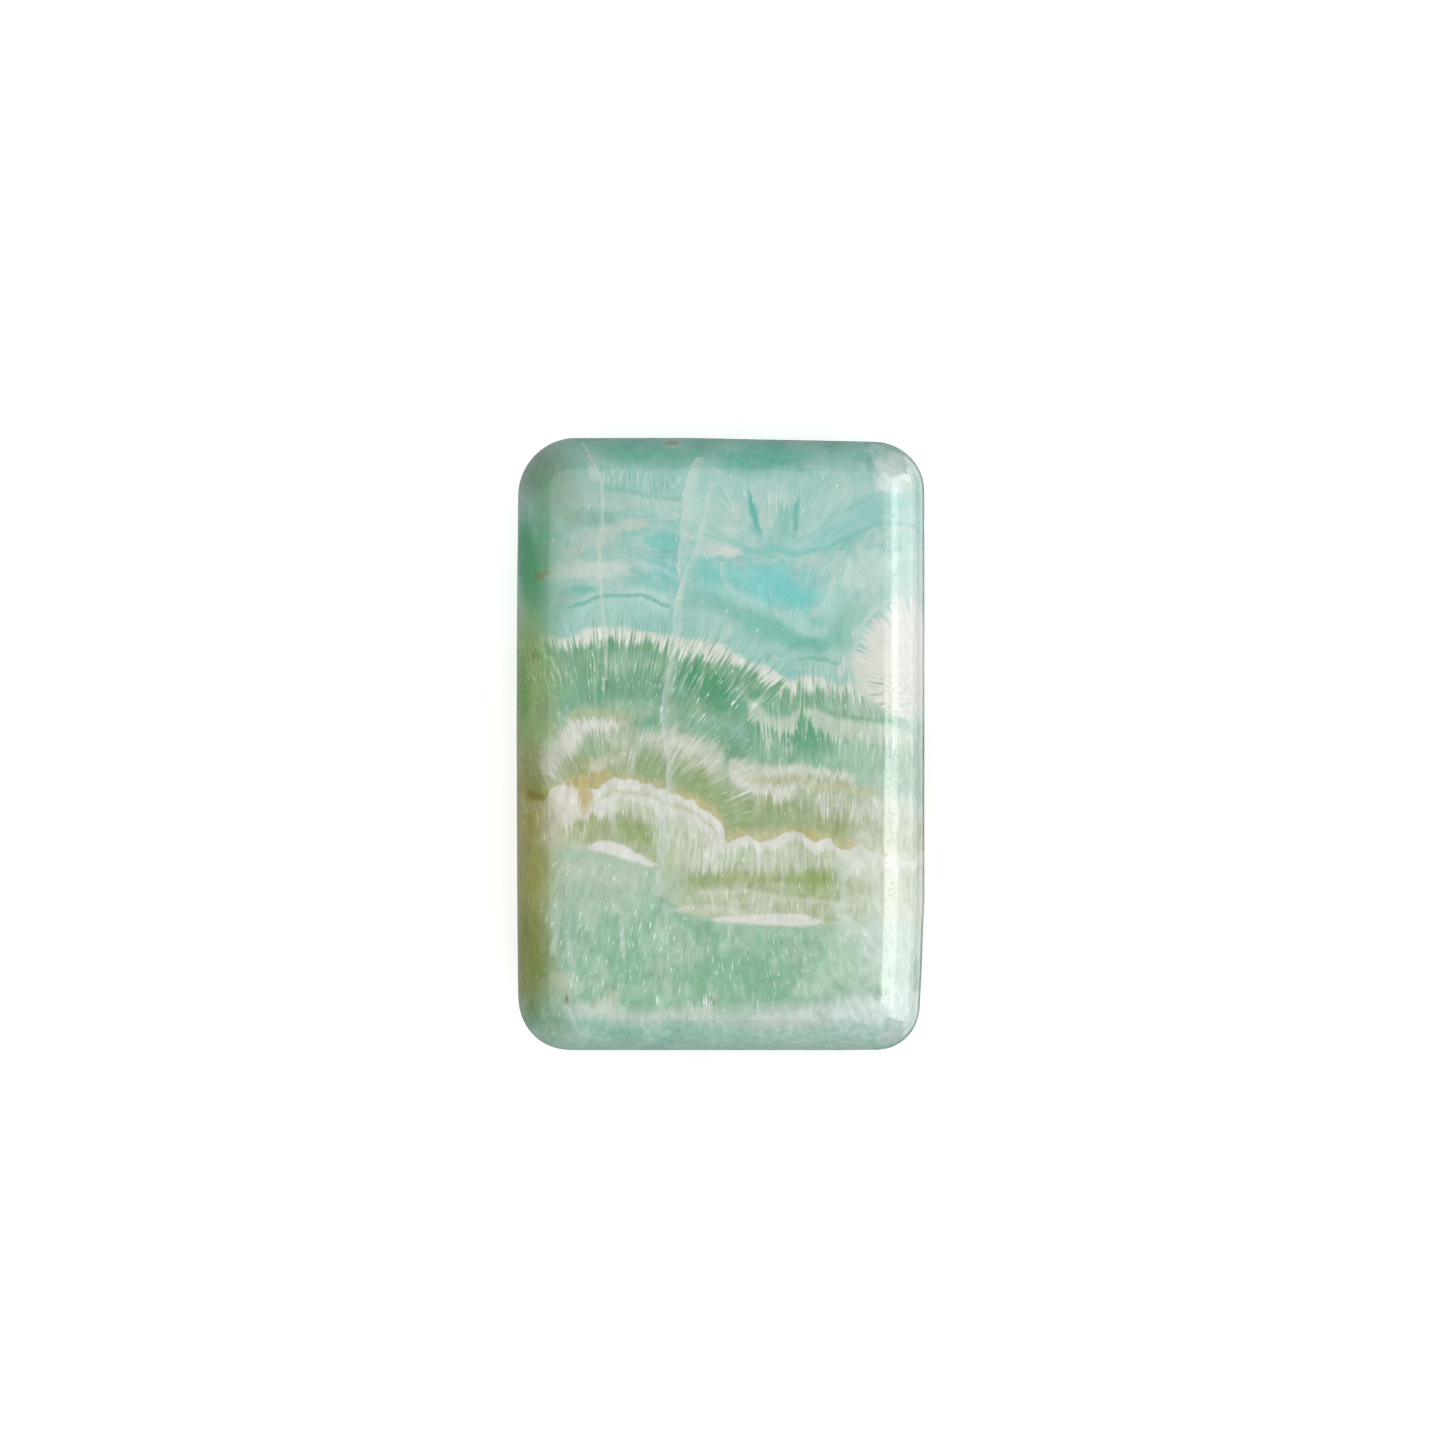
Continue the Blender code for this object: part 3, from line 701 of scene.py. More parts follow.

# Places of painted glints
GLINTS = tuple(Glints(*place) for place in (
    ((-15.2, 9.4), (0.5, 1.4), 1.0), ((-15.7, 7.3), (0.4, 2.9), 0.9), ((-14.0, 8.5), (0.5, 3.6), 0.6),
    ((-7.4, 6.9), (0.6, 3.1), 0.6), ((-9.6, 6.3), (4.8, 2.4), 0.35), ((-1.7, 3.7), (1.4, 1.9), 0.5),
    ((1.5, 5.7), (1.1, 3.1), 0.7), ((-3.6, 7.5), (3.1, 3.6), 0.4), ((9.5, 0.4), (7.2, 2.9), 0.35),
    ((-20.0, -20.3), (0.5, 1.9), 0.9), ((-16.4, -20.9), (0.8, 2.1), 0.8), ((-11.9, -22.5), (0.6, 2.4), 0.9),
    ((-9.8, -21.3), (0.7, 2.4), 0.9), ((-8.2, -22.3), (0.7, 2.4), 0.9), ((-6.5, -21.7), (0.7, 1.4), 0.6),
    ((-19.4, -14.7), (0.7, 1.2), 0.7), ((-13.2, -14.9), (4.1, 1.2), 0.5), ((-11.0, -27.8), (0.6, 1.2), 1.0),
    ((-7.3, -30.4), (0.4, 0.6), 1.0), ((-1.6, -30.4), (0.6, 1.1), 1.0), ((-4.3, -28.8), (0.6, 1.4), 0.6),
    ((-17.2, -28.2), (0.7, 1.2), 0.9), ((-14.2, -28.8), (0.4, 1.2), 0.8), ((-9.6, -24.7), (7.2, 6.0), 0.4),
    ((-1.5, -23.5), (0.5, 1.2), 0.8), ((6.9, -23.1), (1.4, 1.4), 0.7), ((15.8, -23.1), (1.0, 1.2), 0.9),
    ((3.5, -25.9), (7.2, 4.8), 0.35), ((5.3, -30.6), (1.2, 1.4), 0.6), ((11.3, -30.9), (1.2, 1.4), 0.4),
    ((-7.8, -10.6), (1.7, 0.6), 0.6), ((-15.6, -3.8), (0.4, 1.0), 0.8), ((-12.3, 22.6), (0.6, 0.6), 0.8),
    ((5.9, 13.7), (1.7, 0.7), 0.5), ((-5.4, 30.6), (0.7, 1.2), 0.4), ((2.9, 26.0), (1.2, 1.4), 0.3),
))


@dataclass(frozen=True)
class Fan:
    """A part of the stone in which the fibres spread out from one point.

    Attributes:
        apex: The point that they spread from, in mm.
        arc: The distance from it at which the fibres are as wide as elsewhere, in mm.
        middle: The middle of its zone, in mm, where the zone is round.
        radii: The zone's half lengths, in mm.
        soft: The share of its radius in which it fades.
    """

    apex: tuple[float, float]
    arc: float
    middle: tuple[float, float] = (0.0, 0.0)
    radii: tuple[float, float] = (0.0, 0.0)
    soft: float = 0.0


# The left fan lies between the honey line and the arcs, and the front one is all that lies below the lenses
LEFT_FAN = Fan((-13.2, -12.8), 22.0)
RIGHT_FAN = Fan((27.3, 6.3), 7.0, (24.6, 10.4), (8.8, 8.2), 0.1)
BACK_FAN = Fan((6.5, 20.0), 9.0, (6.5, 29.5), (11.0, 7.0), 0.4)
FRONT_FAN = Fan((-3.0, 35.0), 57.0)


class StonePainter:
    """Paints the stone's layers, bands, lenses, seams, frayed stains, cracks, hairs and glints as nodes.

    All its measures are millimetres on the stone, with X and Y from its middle and Z from the face that it
    rests on. A noise is given as its scale per mm, its detail and its roughness, and a range as where a soft
    step starts and ends, with what it gives at both ends where that isn't 0 and 1.
    """

    NOISE_MEAN = 0.5

    # How far the growth lines stray, and how the layers lean below the stone's middle height
    RAGGED_NOISE = (0.9, 4.0, 0.6)
    RAGGED = 0.7
    EQUATOR_Z = 12.0
    EQUATOR_BLEND = 4.0
    DRIFT_NOISE = (0.11, 2.0, 0.5)
    LEAN = 0.3

    # How far upright fibres bow, and how softly they turn to those of a fan
    BOW_NOISE = (0.07, 1.0, 0.5)
    BOW = 2.5
    LEFT_BLUR = 0.2
    FRONT_BLUR = 0.5

    # The left fan's right border: upright up to a height, and leaning to the right from there on
    BORDER_X = 4.1
    BORDER_BEND_Y = 2.7
    BORDER_SLOPE = 0.8
    BORDER_BLUR = 0.3

    # Strands, hairs, needles and grit: the width in mm, the stretch along the fibres and the noise's detail
    FIBRES = ((0.65, 0.12, 2.0), (0.2, 0.06, 1.0), (0.125, 0.1, 0.0), (0.7, 0.35, 3.0))
    FIBRE_ROUGHNESS = 0.6

    # Clouds and fibres make up the shades, the comb and the fine hairs
    CLOUD_NOISE = (0.25, 4.0, 0.6)
    HAIRS_IN_STREAK = 0.5
    HAIRS_IN_COMB = 0.7
    COMB_RANGE = (0.45, 0.6)
    PALE_HAIR_RANGE = (0.53, 0.65)
    DARK_HAIR_RANGE = (0.47, 0.35)
    SHADE_RANGE = (0.34, 0.66)
    GREEN_RANGE = (0.5, -1.0)

    # How strands and hairs fray an edge, more so in some clouds. A pair is a factor and what is added.
    STRAND_FRAY = (2.6, -2.3)
    HAIR_FRAY = 2.0
    CLOUD_FRAY = (3.0, -0.5)
    STAIN_BRUSH = 1.3
    HAIRS_BRUSH = 1.5
    RAYS_IN_RADII = 0.35

    # The value at a spot's rim, halfway down from its middle to twice its radius
    RIM = 0.5

    # Where a line ends inside the face, it turns away this steeply. A lens ends in two tips of this size.
    TURNED_WITHIN = 0.8
    TURNED_BY = 100.0
    TIP_REACH = 2.0
    TIP_HEIGHT = 1.5
    HAIR_TAPER = 0.5
    LEAST_HALF_WIDTH = 0.01

    # The bands of the aqua growth: how many, how they drift along X, and where they fade
    BAND_NOISE = (0.9, 5.0, 0.7)
    BAND_COUNT = 8.0
    BAND_DRIFT = 0.12
    LIGHT_BAND_RANGE = (0.48, 0.66, 0.0, 0.55)
    DARK_BAND_RANGE = (0.5, 0.36, 0.0, 0.6)
    LIGHT_BAND = "bfd6cf"
    DARK_BAND = "7abfb7"
    BANDS_START = 1.0
    BANDS_END = 1.5

    # Painted glints: the green growth's share of them, and how far above the needles' noise they start
    GLINT_COLOUR = "f6fcf8"
    GLINTS_IN_GREEN = 0.05
    GLINT_LEVEL = (-0.17, 0.8)
    GLINT_RANGE = (0.0, 0.08, 0.0, 0.75)
    # Painted glinting specks in the green growth
    GLINT_SPECK_RANGE = (0.64, 0.8, 0.0, 0.3)

    # The mottling: how strong it is in the green growth beyond elsewhere, and elsewhere
    MOTTLE = (0.35, 0.33)
    TWICE_AS_LIGHT = (2.0, 2.0, 2.0, 1.0)

    def __init__(self, tree: bpy.types.NodeTree) -> None:
        """Lays out the places, fibres and clouds that everything else reads.

        Args:
            tree: The material's node tree.
        """
        self.add = partial(add_node, tree)
        self.curves: dict[Line, Socket] = {}
        self.heights: dict[tuple[Line, float], Socket] = {}
        self.lay_out_places()
        self.lifted = {0.0: self.y}
        self.lay_out_fibres()
        self.lay_out_shades()
        self.colour: Socket | None = None

    def lay_out_places(self) -> None:
        """Finds where a point of the stone lies, in mm, with the layers leaning as they go deeper."""
        add = self.add
        coordinates = add("TexCoord").node.outputs["Object"]
        self.place = add("Mapping", (coordinates, None, None, (DRAWN_MM,) * 3))
        self.plain_x, self.plain_y, self.plain_z = add("SeparateXYZ", (self.place,)).node.outputs
        ragged = add("TexNoise", (self.place, *self.RAGGED_NOISE)).node.outputs["Color"]
        shift = add("VectorMath", (ragged, (self.NOISE_MEAN,) * 3), operation="SUBTRACT")
        self.warped = add("VectorMath", (shift, (self.RAGGED,) * 3, self.place), operation="MULTIPLY_ADD")
        x, y, z = add("SeparateXYZ", (self.warped,)).node.outputs
        drop = add("Math", (self.EQUATOR_Z, z), operation="SUBTRACT")
        depth = add("Math", (drop, 0.0, self.EQUATOR_BLEND), operation="SMOOTH_MAX")
        drift = add("TexNoise", (self.place, *self.DRIFT_NOISE))
        lean = add("Math", (drift, self.LEAN), operation="MULTIPLY")
        self.x = add("Math", (lean, depth, x), operation="MULTIPLY_ADD")
        self.y = add("Math", (depth, -self.LEAN, y), operation="MULTIPLY_ADD")

    def curve(self, value: Socket, points: Line, straight: bool) -> Socket:
        """Leads a value through a curve.

        Args:
            value: The value.
            points: The points that the curve meets, as pairs of a value and what comes out there.
            straight: True where the curve runs straight from point to point.

        Returns:
            What comes out.
        """
        curve = self.add("FloatCurve", (1.0, value))
        mapping = curve.node.mapping
        mapping.use_clip = False
        spots = mapping.curves[0].points
        spots[0].location = points[0]
        spots[1].location = points[-1]
        for point in points[1:-1]:
            spots.new(*point)
        for spot in spots:
            spot.handle_type = "VECTOR" if straight else "AUTO"
        mapping.extend = "HORIZONTAL"
        mapping.update()
        return curve

    def above(self, line: Line, brush: float = 0.0, straight: bool = False) -> Socket:
        """Gives how far a point lies above a growth line, in mm.

        Args:
            line: The growth line, from left to right.
            brush: How far the fibres fray it, in mm.
            straight: True where the line runs straight from point to point.

        Returns:
            The distance, negative below the line.
        """
        if line not in self.curves:
            self.curves[line] = self.curve(self.x, line, straight)
        if brush not in self.lifted:
            self.lifted[brush] = self.add("Math", (self.fray, brush, self.y), operation="MULTIPLY_ADD")
        if (line, brush) not in self.heights:
            feeds = (self.lifted[brush], self.curves[line])
            self.heights[line, brush] = self.add("Math", feeds, operation="SUBTRACT")
        return self.heights[line, brush]

    def cut(self, line: Line, reach: tuple[float, float]) -> Line:
        """Cuts a line off at both ends, and turns it far away there, so that nothing is left of it outside.

        Args:
            line: The line.
            reach: Where it starts and ends along its first axis, in mm.

        Returns:
            The line that is left, with its turned ends.
        """
        (start, first), (end, last) = ((place, float(np.interp(place, *zip(*line)))) for place in reach)
        inner = (point for point in line if start < point[0] < end)
        head = (start - self.TURNED_WITHIN, first + self.TURNED_BY)
        tail = (end + self.TURNED_WITHIN, last + self.TURNED_BY)
        return (head, (start, first), *inner, (end, last), tail)

    def fan_out(self, fan: Fan) -> tuple[Socket, Socket]:
        """Gives the fibre coordinates of a fan.

        Args:
            fan: Where the fibres spread from.

        Returns:
            The place across the fibres and the place along them, in mm.
        """
        add = self.add
        right = add("Math", (self.plain_x, fan.apex[0]), operation="SUBTRACT")
        up = add("Math", (self.plain_y, fan.apex[1]), operation="SUBTRACT")
        angle = add("Math", (right, up), operation="ARCTAN2")
        across = add("Math", (angle, fan.arc), operation="MULTIPLY")
        squares = add("Math", (right, right), operation="MULTIPLY")
        squares = add("Math", (up, up, squares), operation="MULTIPLY_ADD")
        return across, add("Math", (squares,), operation="SQRT")

    def lay_out_fibres(self) -> None:
        """Finds the place across and along the fibres, which stand upright or fanned from zone to zone."""
        add = self.add
        bow = add("TexNoise", (self.place, *self.BOW_NOISE))
        across = add("Math", (bow, self.BOW, self.plain_x), operation="MULTIPLY_ADD")
        along = self.plain_y
        blur = self.LEFT_BLUR
        in_arc = add("MapRange", (self.above(ARC_LOW), blur, -blur, 0.0, 1.0), **SOFT_STEP)
        past_honey = add("MapRange", (self.above(HONEY_TOP), -blur, blur, 0.0, 1.0), **SOFT_STEP)
        climb = add("Math", (self.plain_y, self.BORDER_BEND_Y), operation="SUBTRACT")
        rise = add("Math", (climb, 0.0), operation="MAXIMUM")
        limit = add("Math", (rise, self.BORDER_SLOPE, self.BORDER_X), operation="MULTIPLY_ADD")
        side = add("Math", (self.plain_x, limit), operation="SUBTRACT")
        blur = self.BORDER_BLUR
        left_of_border = add("MapRange", (side, blur, -blur, 0.0, 1.0), **SOFT_STEP)
        zone = add("Math", (in_arc, past_honey), operation="MULTIPLY")
        zone = add("Math", (zone, left_of_border), operation="MULTIPLY")
        round_zones = [(fan, self.spot(self.warped, fan.middle, fan.radii, soft=fan.soft))
                       for fan in (RIGHT_FAN, BACK_FAN)]
        blur = self.FRONT_BLUR
        in_front = add("MapRange", (self.above(LENS_FLOOR), blur, -blur, 0.0, 1.0), **SOFT_STEP)
        for fan, share in ((LEFT_FAN, zone), *round_zones, (FRONT_FAN, in_front)):
            fan_across, fan_along = self.fan_out(fan)
            across = add("Mix", (share, across, fan_across), data_type="FLOAT")
            along = add("Mix", (share, along, fan_along), data_type="FLOAT")
        fibres = []
        for width, stretch, detail in self.FIBRES:
            stretched = add("Math", (along, stretch), operation="MULTIPLY")
            place = add("CombineXYZ", (across, stretched, self.plain_z))
            fibres.append(add("TexNoise", (place, 1 / width, detail, self.FIBRE_ROUGHNESS)))
        self.strands, self.hairs, self.needles, self.grit = fibres

    def lay_out_shades(self) -> None:
        """Makes the streaks, clouds, combs and frayed edges that the layers share."""
        add = self.add
        self.cloud = add("TexNoise", (self.place, *self.CLOUD_NOISE))
        self.streak = add("Mix", (self.HAIRS_IN_STREAK, self.strands, self.hairs), data_type="FLOAT")
        tooth = add("Mix", (self.HAIRS_IN_COMB, self.strands, self.hairs), data_type="FLOAT")
        self.comb = add("MapRange", (tooth, *self.COMB_RANGE, 0.0, 1.0), **SOFT_STEP)
        self.pale_hairs = add("MapRange", (self.hairs, *self.PALE_HAIR_RANGE, 0.0, 1.0), **SOFT_STEP)
        self.dark_hairs = add("MapRange", (self.hairs, *self.DARK_HAIR_RANGE, 0.0, 1.0), **SOFT_STEP)
        strand_part = add("Math", (self.strands, *self.STRAND_FRAY), operation="MULTIPLY_ADD")
        fray = add("Math", (self.hairs, self.HAIR_FRAY, strand_part), operation="MULTIPLY_ADD")
        reach = add("Math", (self.cloud, *self.CLOUD_FRAY), operation="MULTIPLY_ADD")
        self.fray = add("Math", (fray, reach), operation="MULTIPLY")
        shift = add("Math", (self.fray, self.STAIN_BRUSH), operation="MULTIPLY")
        shift = add("CombineXYZ", (0.0, shift, 0.0))
        self.frayed = add("VectorMath", (self.warped, shift), operation="ADD")
        self.green = add("MapRange", (self.above(CREST_TOP), *self.GREEN_RANGE, 0.0, 1.0), **SOFT_STEP)

    def spot(self, place: Socket, centre: tuple[float, float], radii: tuple[float, float], tilt: float = 0.0,
             soft: float = 0.5, depth: float = USUAL_DEPTH, strength: float = 1.0,
             rayed: bool = False) -> Socket:
        """Gives a soft round or long spot in the stone.

        Args:
            place: Where a point lies, plain or frayed.
            centre: The spot's middle on the upper face, in mm.
            radii: Its half lengths, in mm.
            tilt: How far it is turned, in degrees.
            soft: The share of its radius in which it fades.
            depth: How deep it goes, in mm.
            strength: Its value in the middle.
            rayed: True where fibres fray it all round.

        Returns:
            The strength in the middle of the spot, 0 outside it.
        """
        turn = (0.0, 0.0, math.radians(tilt))
        doubled = (radii[0] * 2, radii[1] * 2, depth * 2)
        inside = self.add("Mapping", (place, (*centre, FACE_Z), turn, doubled), vector_type="TEXTURE")
        near = self.add("TexGradient", (inside,), gradient_type="SPHERICAL").node.outputs["Fac"]
        if rayed:
            near = self.add("Math", (self.fray, self.RAYS_IN_RADII / 2, near), operation="MULTIPLY_ADD")
        fade = soft / 4
        return self.add("MapRange", (near, self.RIM - fade, self.RIM + fade, 0.0, strength), **SOFT_STEP)

    def cover(self, share: Socket, colour: str) -> None:
        """Lays one more colour over what is painted so far.

        Args:
            share: How much it covers, 0 to 1.
            colour: The colour as it is seen, as sRGB hex.
        """
        self.colour = self.add("Mix", (share, self.colour, own_colour(colour)), data_type="RGBA")

    def paint_layers(self, layers: tuple[Layer, ...]) -> None:
        """Paints the layers of growth from the front of the stone to its back.

        Args:
            layers: The layers, from the lowest one up.
        """
        add = self.add
        deep: Feed = own_colour(BASE_DEEP)
        pale: Feed = own_colour(BASE_PALE)
        body: Feed = (BASE_GRAIN, 0.0, 0.0, 1.0)
        for layer in layers:
            height = self.above(layer.foot, layer.brush)
            low, high = layer.lift - layer.blur, layer.lift + layer.blur
            share = add("MapRange", (height, low, high, 0.0, 1.0), **SOFT_STEP)
            deep = add("Mix", (share, deep, own_colour(layer.deep)), data_type="RGBA")
            pale = add("Mix", (share, pale, own_colour(layer.pale)), data_type="RGBA")
            body = add("Mix", (share, body, (layer.grain, layer.fill, 0.0, 1.0)), data_type="RGBA")
        grain, fill, _ = add("SeparateColor", (body,)).node.outputs
        field = add("Mix", (grain, self.cloud, self.streak), data_type="FLOAT")
        field = add("Math", (field, fill), operation="ADD")
        shade = add("MapRange", (field, *self.SHADE_RANGE, 0.0, 1.0), **SOFT_STEP)
        self.colour = add("Mix", (shade, deep, pale), data_type="RGBA")

    def paint_bands(self) -> None:
        """Draws the soft even bands of the aqua growth, which follow the arcs at its foot and its head."""
        add = self.add
        low = self.above(ARC_LOW)
        high = self.above(ARC_HIGH)
        rise = add("Math", (low, high), operation="SUBTRACT")
        share = add("Math", (low, rise), operation="DIVIDE")
        level = add("Math", (share, self.BAND_COUNT), operation="MULTIPLY")
        drift = add("Math", (self.x, self.BAND_DRIFT), operation="MULTIPLY")
        band_place = add("CombineXYZ", (drift, level, 0.0))
        band = add("TexNoise", (band_place, *self.BAND_NOISE))
        light = add("MapRange", (band, *self.LIGHT_BAND_RANGE), **SOFT_STEP)
        dark = add("MapRange", (band, *self.DARK_BAND_RANGE), **SOFT_STEP)
        inside = add("MapRange", (low, -self.BANDS_START, self.BANDS_START, 0.0, 1.0), **SOFT_STEP)
        topped = add("MapRange", (high, self.BANDS_END, -self.BANDS_END, 0.0, 1.0), **SOFT_STEP)
        zone = add("Math", (inside, topped), operation="MULTIPLY")
        self.cover(add("Math", (dark, zone), operation="MULTIPLY"), self.DARK_BAND)
        self.cover(add("Math", (light, zone), operation="MULTIPLY"), self.LIGHT_BAND)

    def lay_clouds(self) -> None:
        """Lays the clouds that the mesh carries over the layers."""
        clouds = self.add("Attribute", attribute_name=CloudWash.NAME)
        share = clouds.node.outputs["Alpha"]
        self.colour = self.add("Mix", (share, self.colour, clouds), data_type="RGBA")

    def crossed_over(self, line: Line, rise: float) -> Line:
        """Leads one line of a lens on past both its tips, where the two lines cross.

        Args:
            line: The line.
            rise: How far it rises on the way, in mm.

        Returns:
            The longer line.
        """
        (left, left_y), (right, right_y) = line[0], line[-1]
        return ((left - self.TIP_REACH, left_y + rise), *line, (right + self.TIP_REACH, right_y + rise))

    def paint_lens(self, lens: Lens) -> None:
        """Paints a lens.

        Args:
            lens: The lens.
        """
        add = self.add
        top = self.crossed_over(lens.top, -self.TIP_HEIGHT)
        foot = self.crossed_over(lens.foot, self.TIP_HEIGHT)
        below_top = add("Math", (self.above(top), -1.0), operation="MULTIPLY")
        inside = add("Math", (below_top, self.above(foot, lens.brush)), operation="MINIMUM")
        edge = lens.blur / 2
        self.cover(add("MapRange", (inside, -edge, edge, 0.0, lens.strength), **SOFT_STEP), lens.colour)

    def paint_seam(self, seam: Seam) -> None:
        """Paints a seam.

        Args:
            seam: The seam.
        """
        outer = seam.width / 2 + seam.blur / 2
        inner = max(seam.width / 2 - seam.blur / 2, self.LEAST_HALF_WIDTH)
        height = self.above(self.cut(seam.line, seam.reach), seam.brush, True)
        profile = ((-outer, 0.0), (-inner, seam.strength), (inner, seam.strength), (outer, 0.0))
        self.cover(self.curve(height, profile, True), seam.colour)

    def paint_hairs(self, hairs: Hairs) -> None:
        """Paints fine hairs.

        Args:
            hairs: The hairs.
        """
        height = self.above(self.cut(hairs.line, hairs.reach), self.HAIRS_BRUSH, True)
        middle = (hairs.low + hairs.high) / 2
        start, end = hairs.low - self.HAIR_TAPER, hairs.high + self.HAIR_TAPER
        profile = ((start, 0.0), (middle, hairs.strength), (end, 0.0))
        picked = self.pale_hairs if hairs.pale else self.dark_hairs
        share = self.add("Math", (self.curve(height, profile, True), picked), operation="MULTIPLY")
        self.cover(share, hairs.colour)

    def paint_stain(self, stain: Stain) -> None:
        """Paints a stain that the fibres fray or comb.

        Args:
            stain: The stain.
        """
        rayed = stain.edge is Edge.RAYED
        place = self.warped if rayed else self.frayed
        share = self.spot(place, stain.centre, stain.radii, stain.tilt, stain.soft, stain.depth,
                          stain.strength, rayed)
        if stain.edge is Edge.COMBED:
            share = self.add("Math", (share, self.comb), operation="MULTIPLY")
        self.cover(share, stain.colour)

    def paint_crack(self, crack: Crack) -> None:
        """Paints a healed crack with its rim.

        Args:
            crack: The crack.
        """
        path = tuple(sorted((y, x) for x, y in crack.path))
        path = self.cut(path, (path[0][0], path[-1][0]))
        side = self.add("Math", (self.x, self.curve(self.y, path, True)), operation="SUBTRACT")
        way = math.copysign(1.0, crack.rim)
        width = crack.width * way
        profile = ((-width, 0.0), (0.0, crack.strength), (width, crack.rim_strength), (crack.rim, 0.0))
        self.cover(self.curve(side, tuple(sorted(profile)), True), crack.colour)

    def paint_glints(self) -> None:
        """Paints glints of cut fibres into the colour where the mesh says so, and a few of them below the
        white crest.
        """
        add = self.add
        places = add("Attribute", attribute_name=CloudWash.GLINT_NAME).node.outputs["Fac"]
        share = add("Math", (self.green, self.GLINTS_IN_GREEN), operation="MULTIPLY")
        share = add("Math", (places, share), operation="MAXIMUM")
        level = add("Math", (share, *self.GLINT_LEVEL), operation="MULTIPLY_ADD")
        excess = add("Math", (self.needles, level), operation="SUBTRACT")
        self.cover(add("MapRange", (excess, *self.GLINT_RANGE), **SOFT_STEP), self.GLINT_COLOUR)
        # Painted glinting specks in the green growth
        specks = add("MapRange", (self.grit, *self.GLINT_SPECK_RANGE), **SOFT_STEP)
        self.cover(add("Math", (specks, self.green), operation="MULTIPLY"), self.GLINT_COLOUR)

    def mottle_over(self) -> None:
        """Makes the stone a little lighter and darker from grain to grain, above all below its crest."""
        add = self.add
        contrast = add("Math", (self.green, *self.MOTTLE), operation="MULTIPLY_ADD")
        offset = add("Math", (self.grit, self.NOISE_MEAN), operation="SUBTRACT")
        factor = add("Math", (offset, contrast), operation="MULTIPLY")
        self.colour = add("Mix", (factor, self.colour, self.TWICE_AS_LIGHT), data_type="RGBA",
                          blend_type="MULTIPLY", clamp_factor=False)


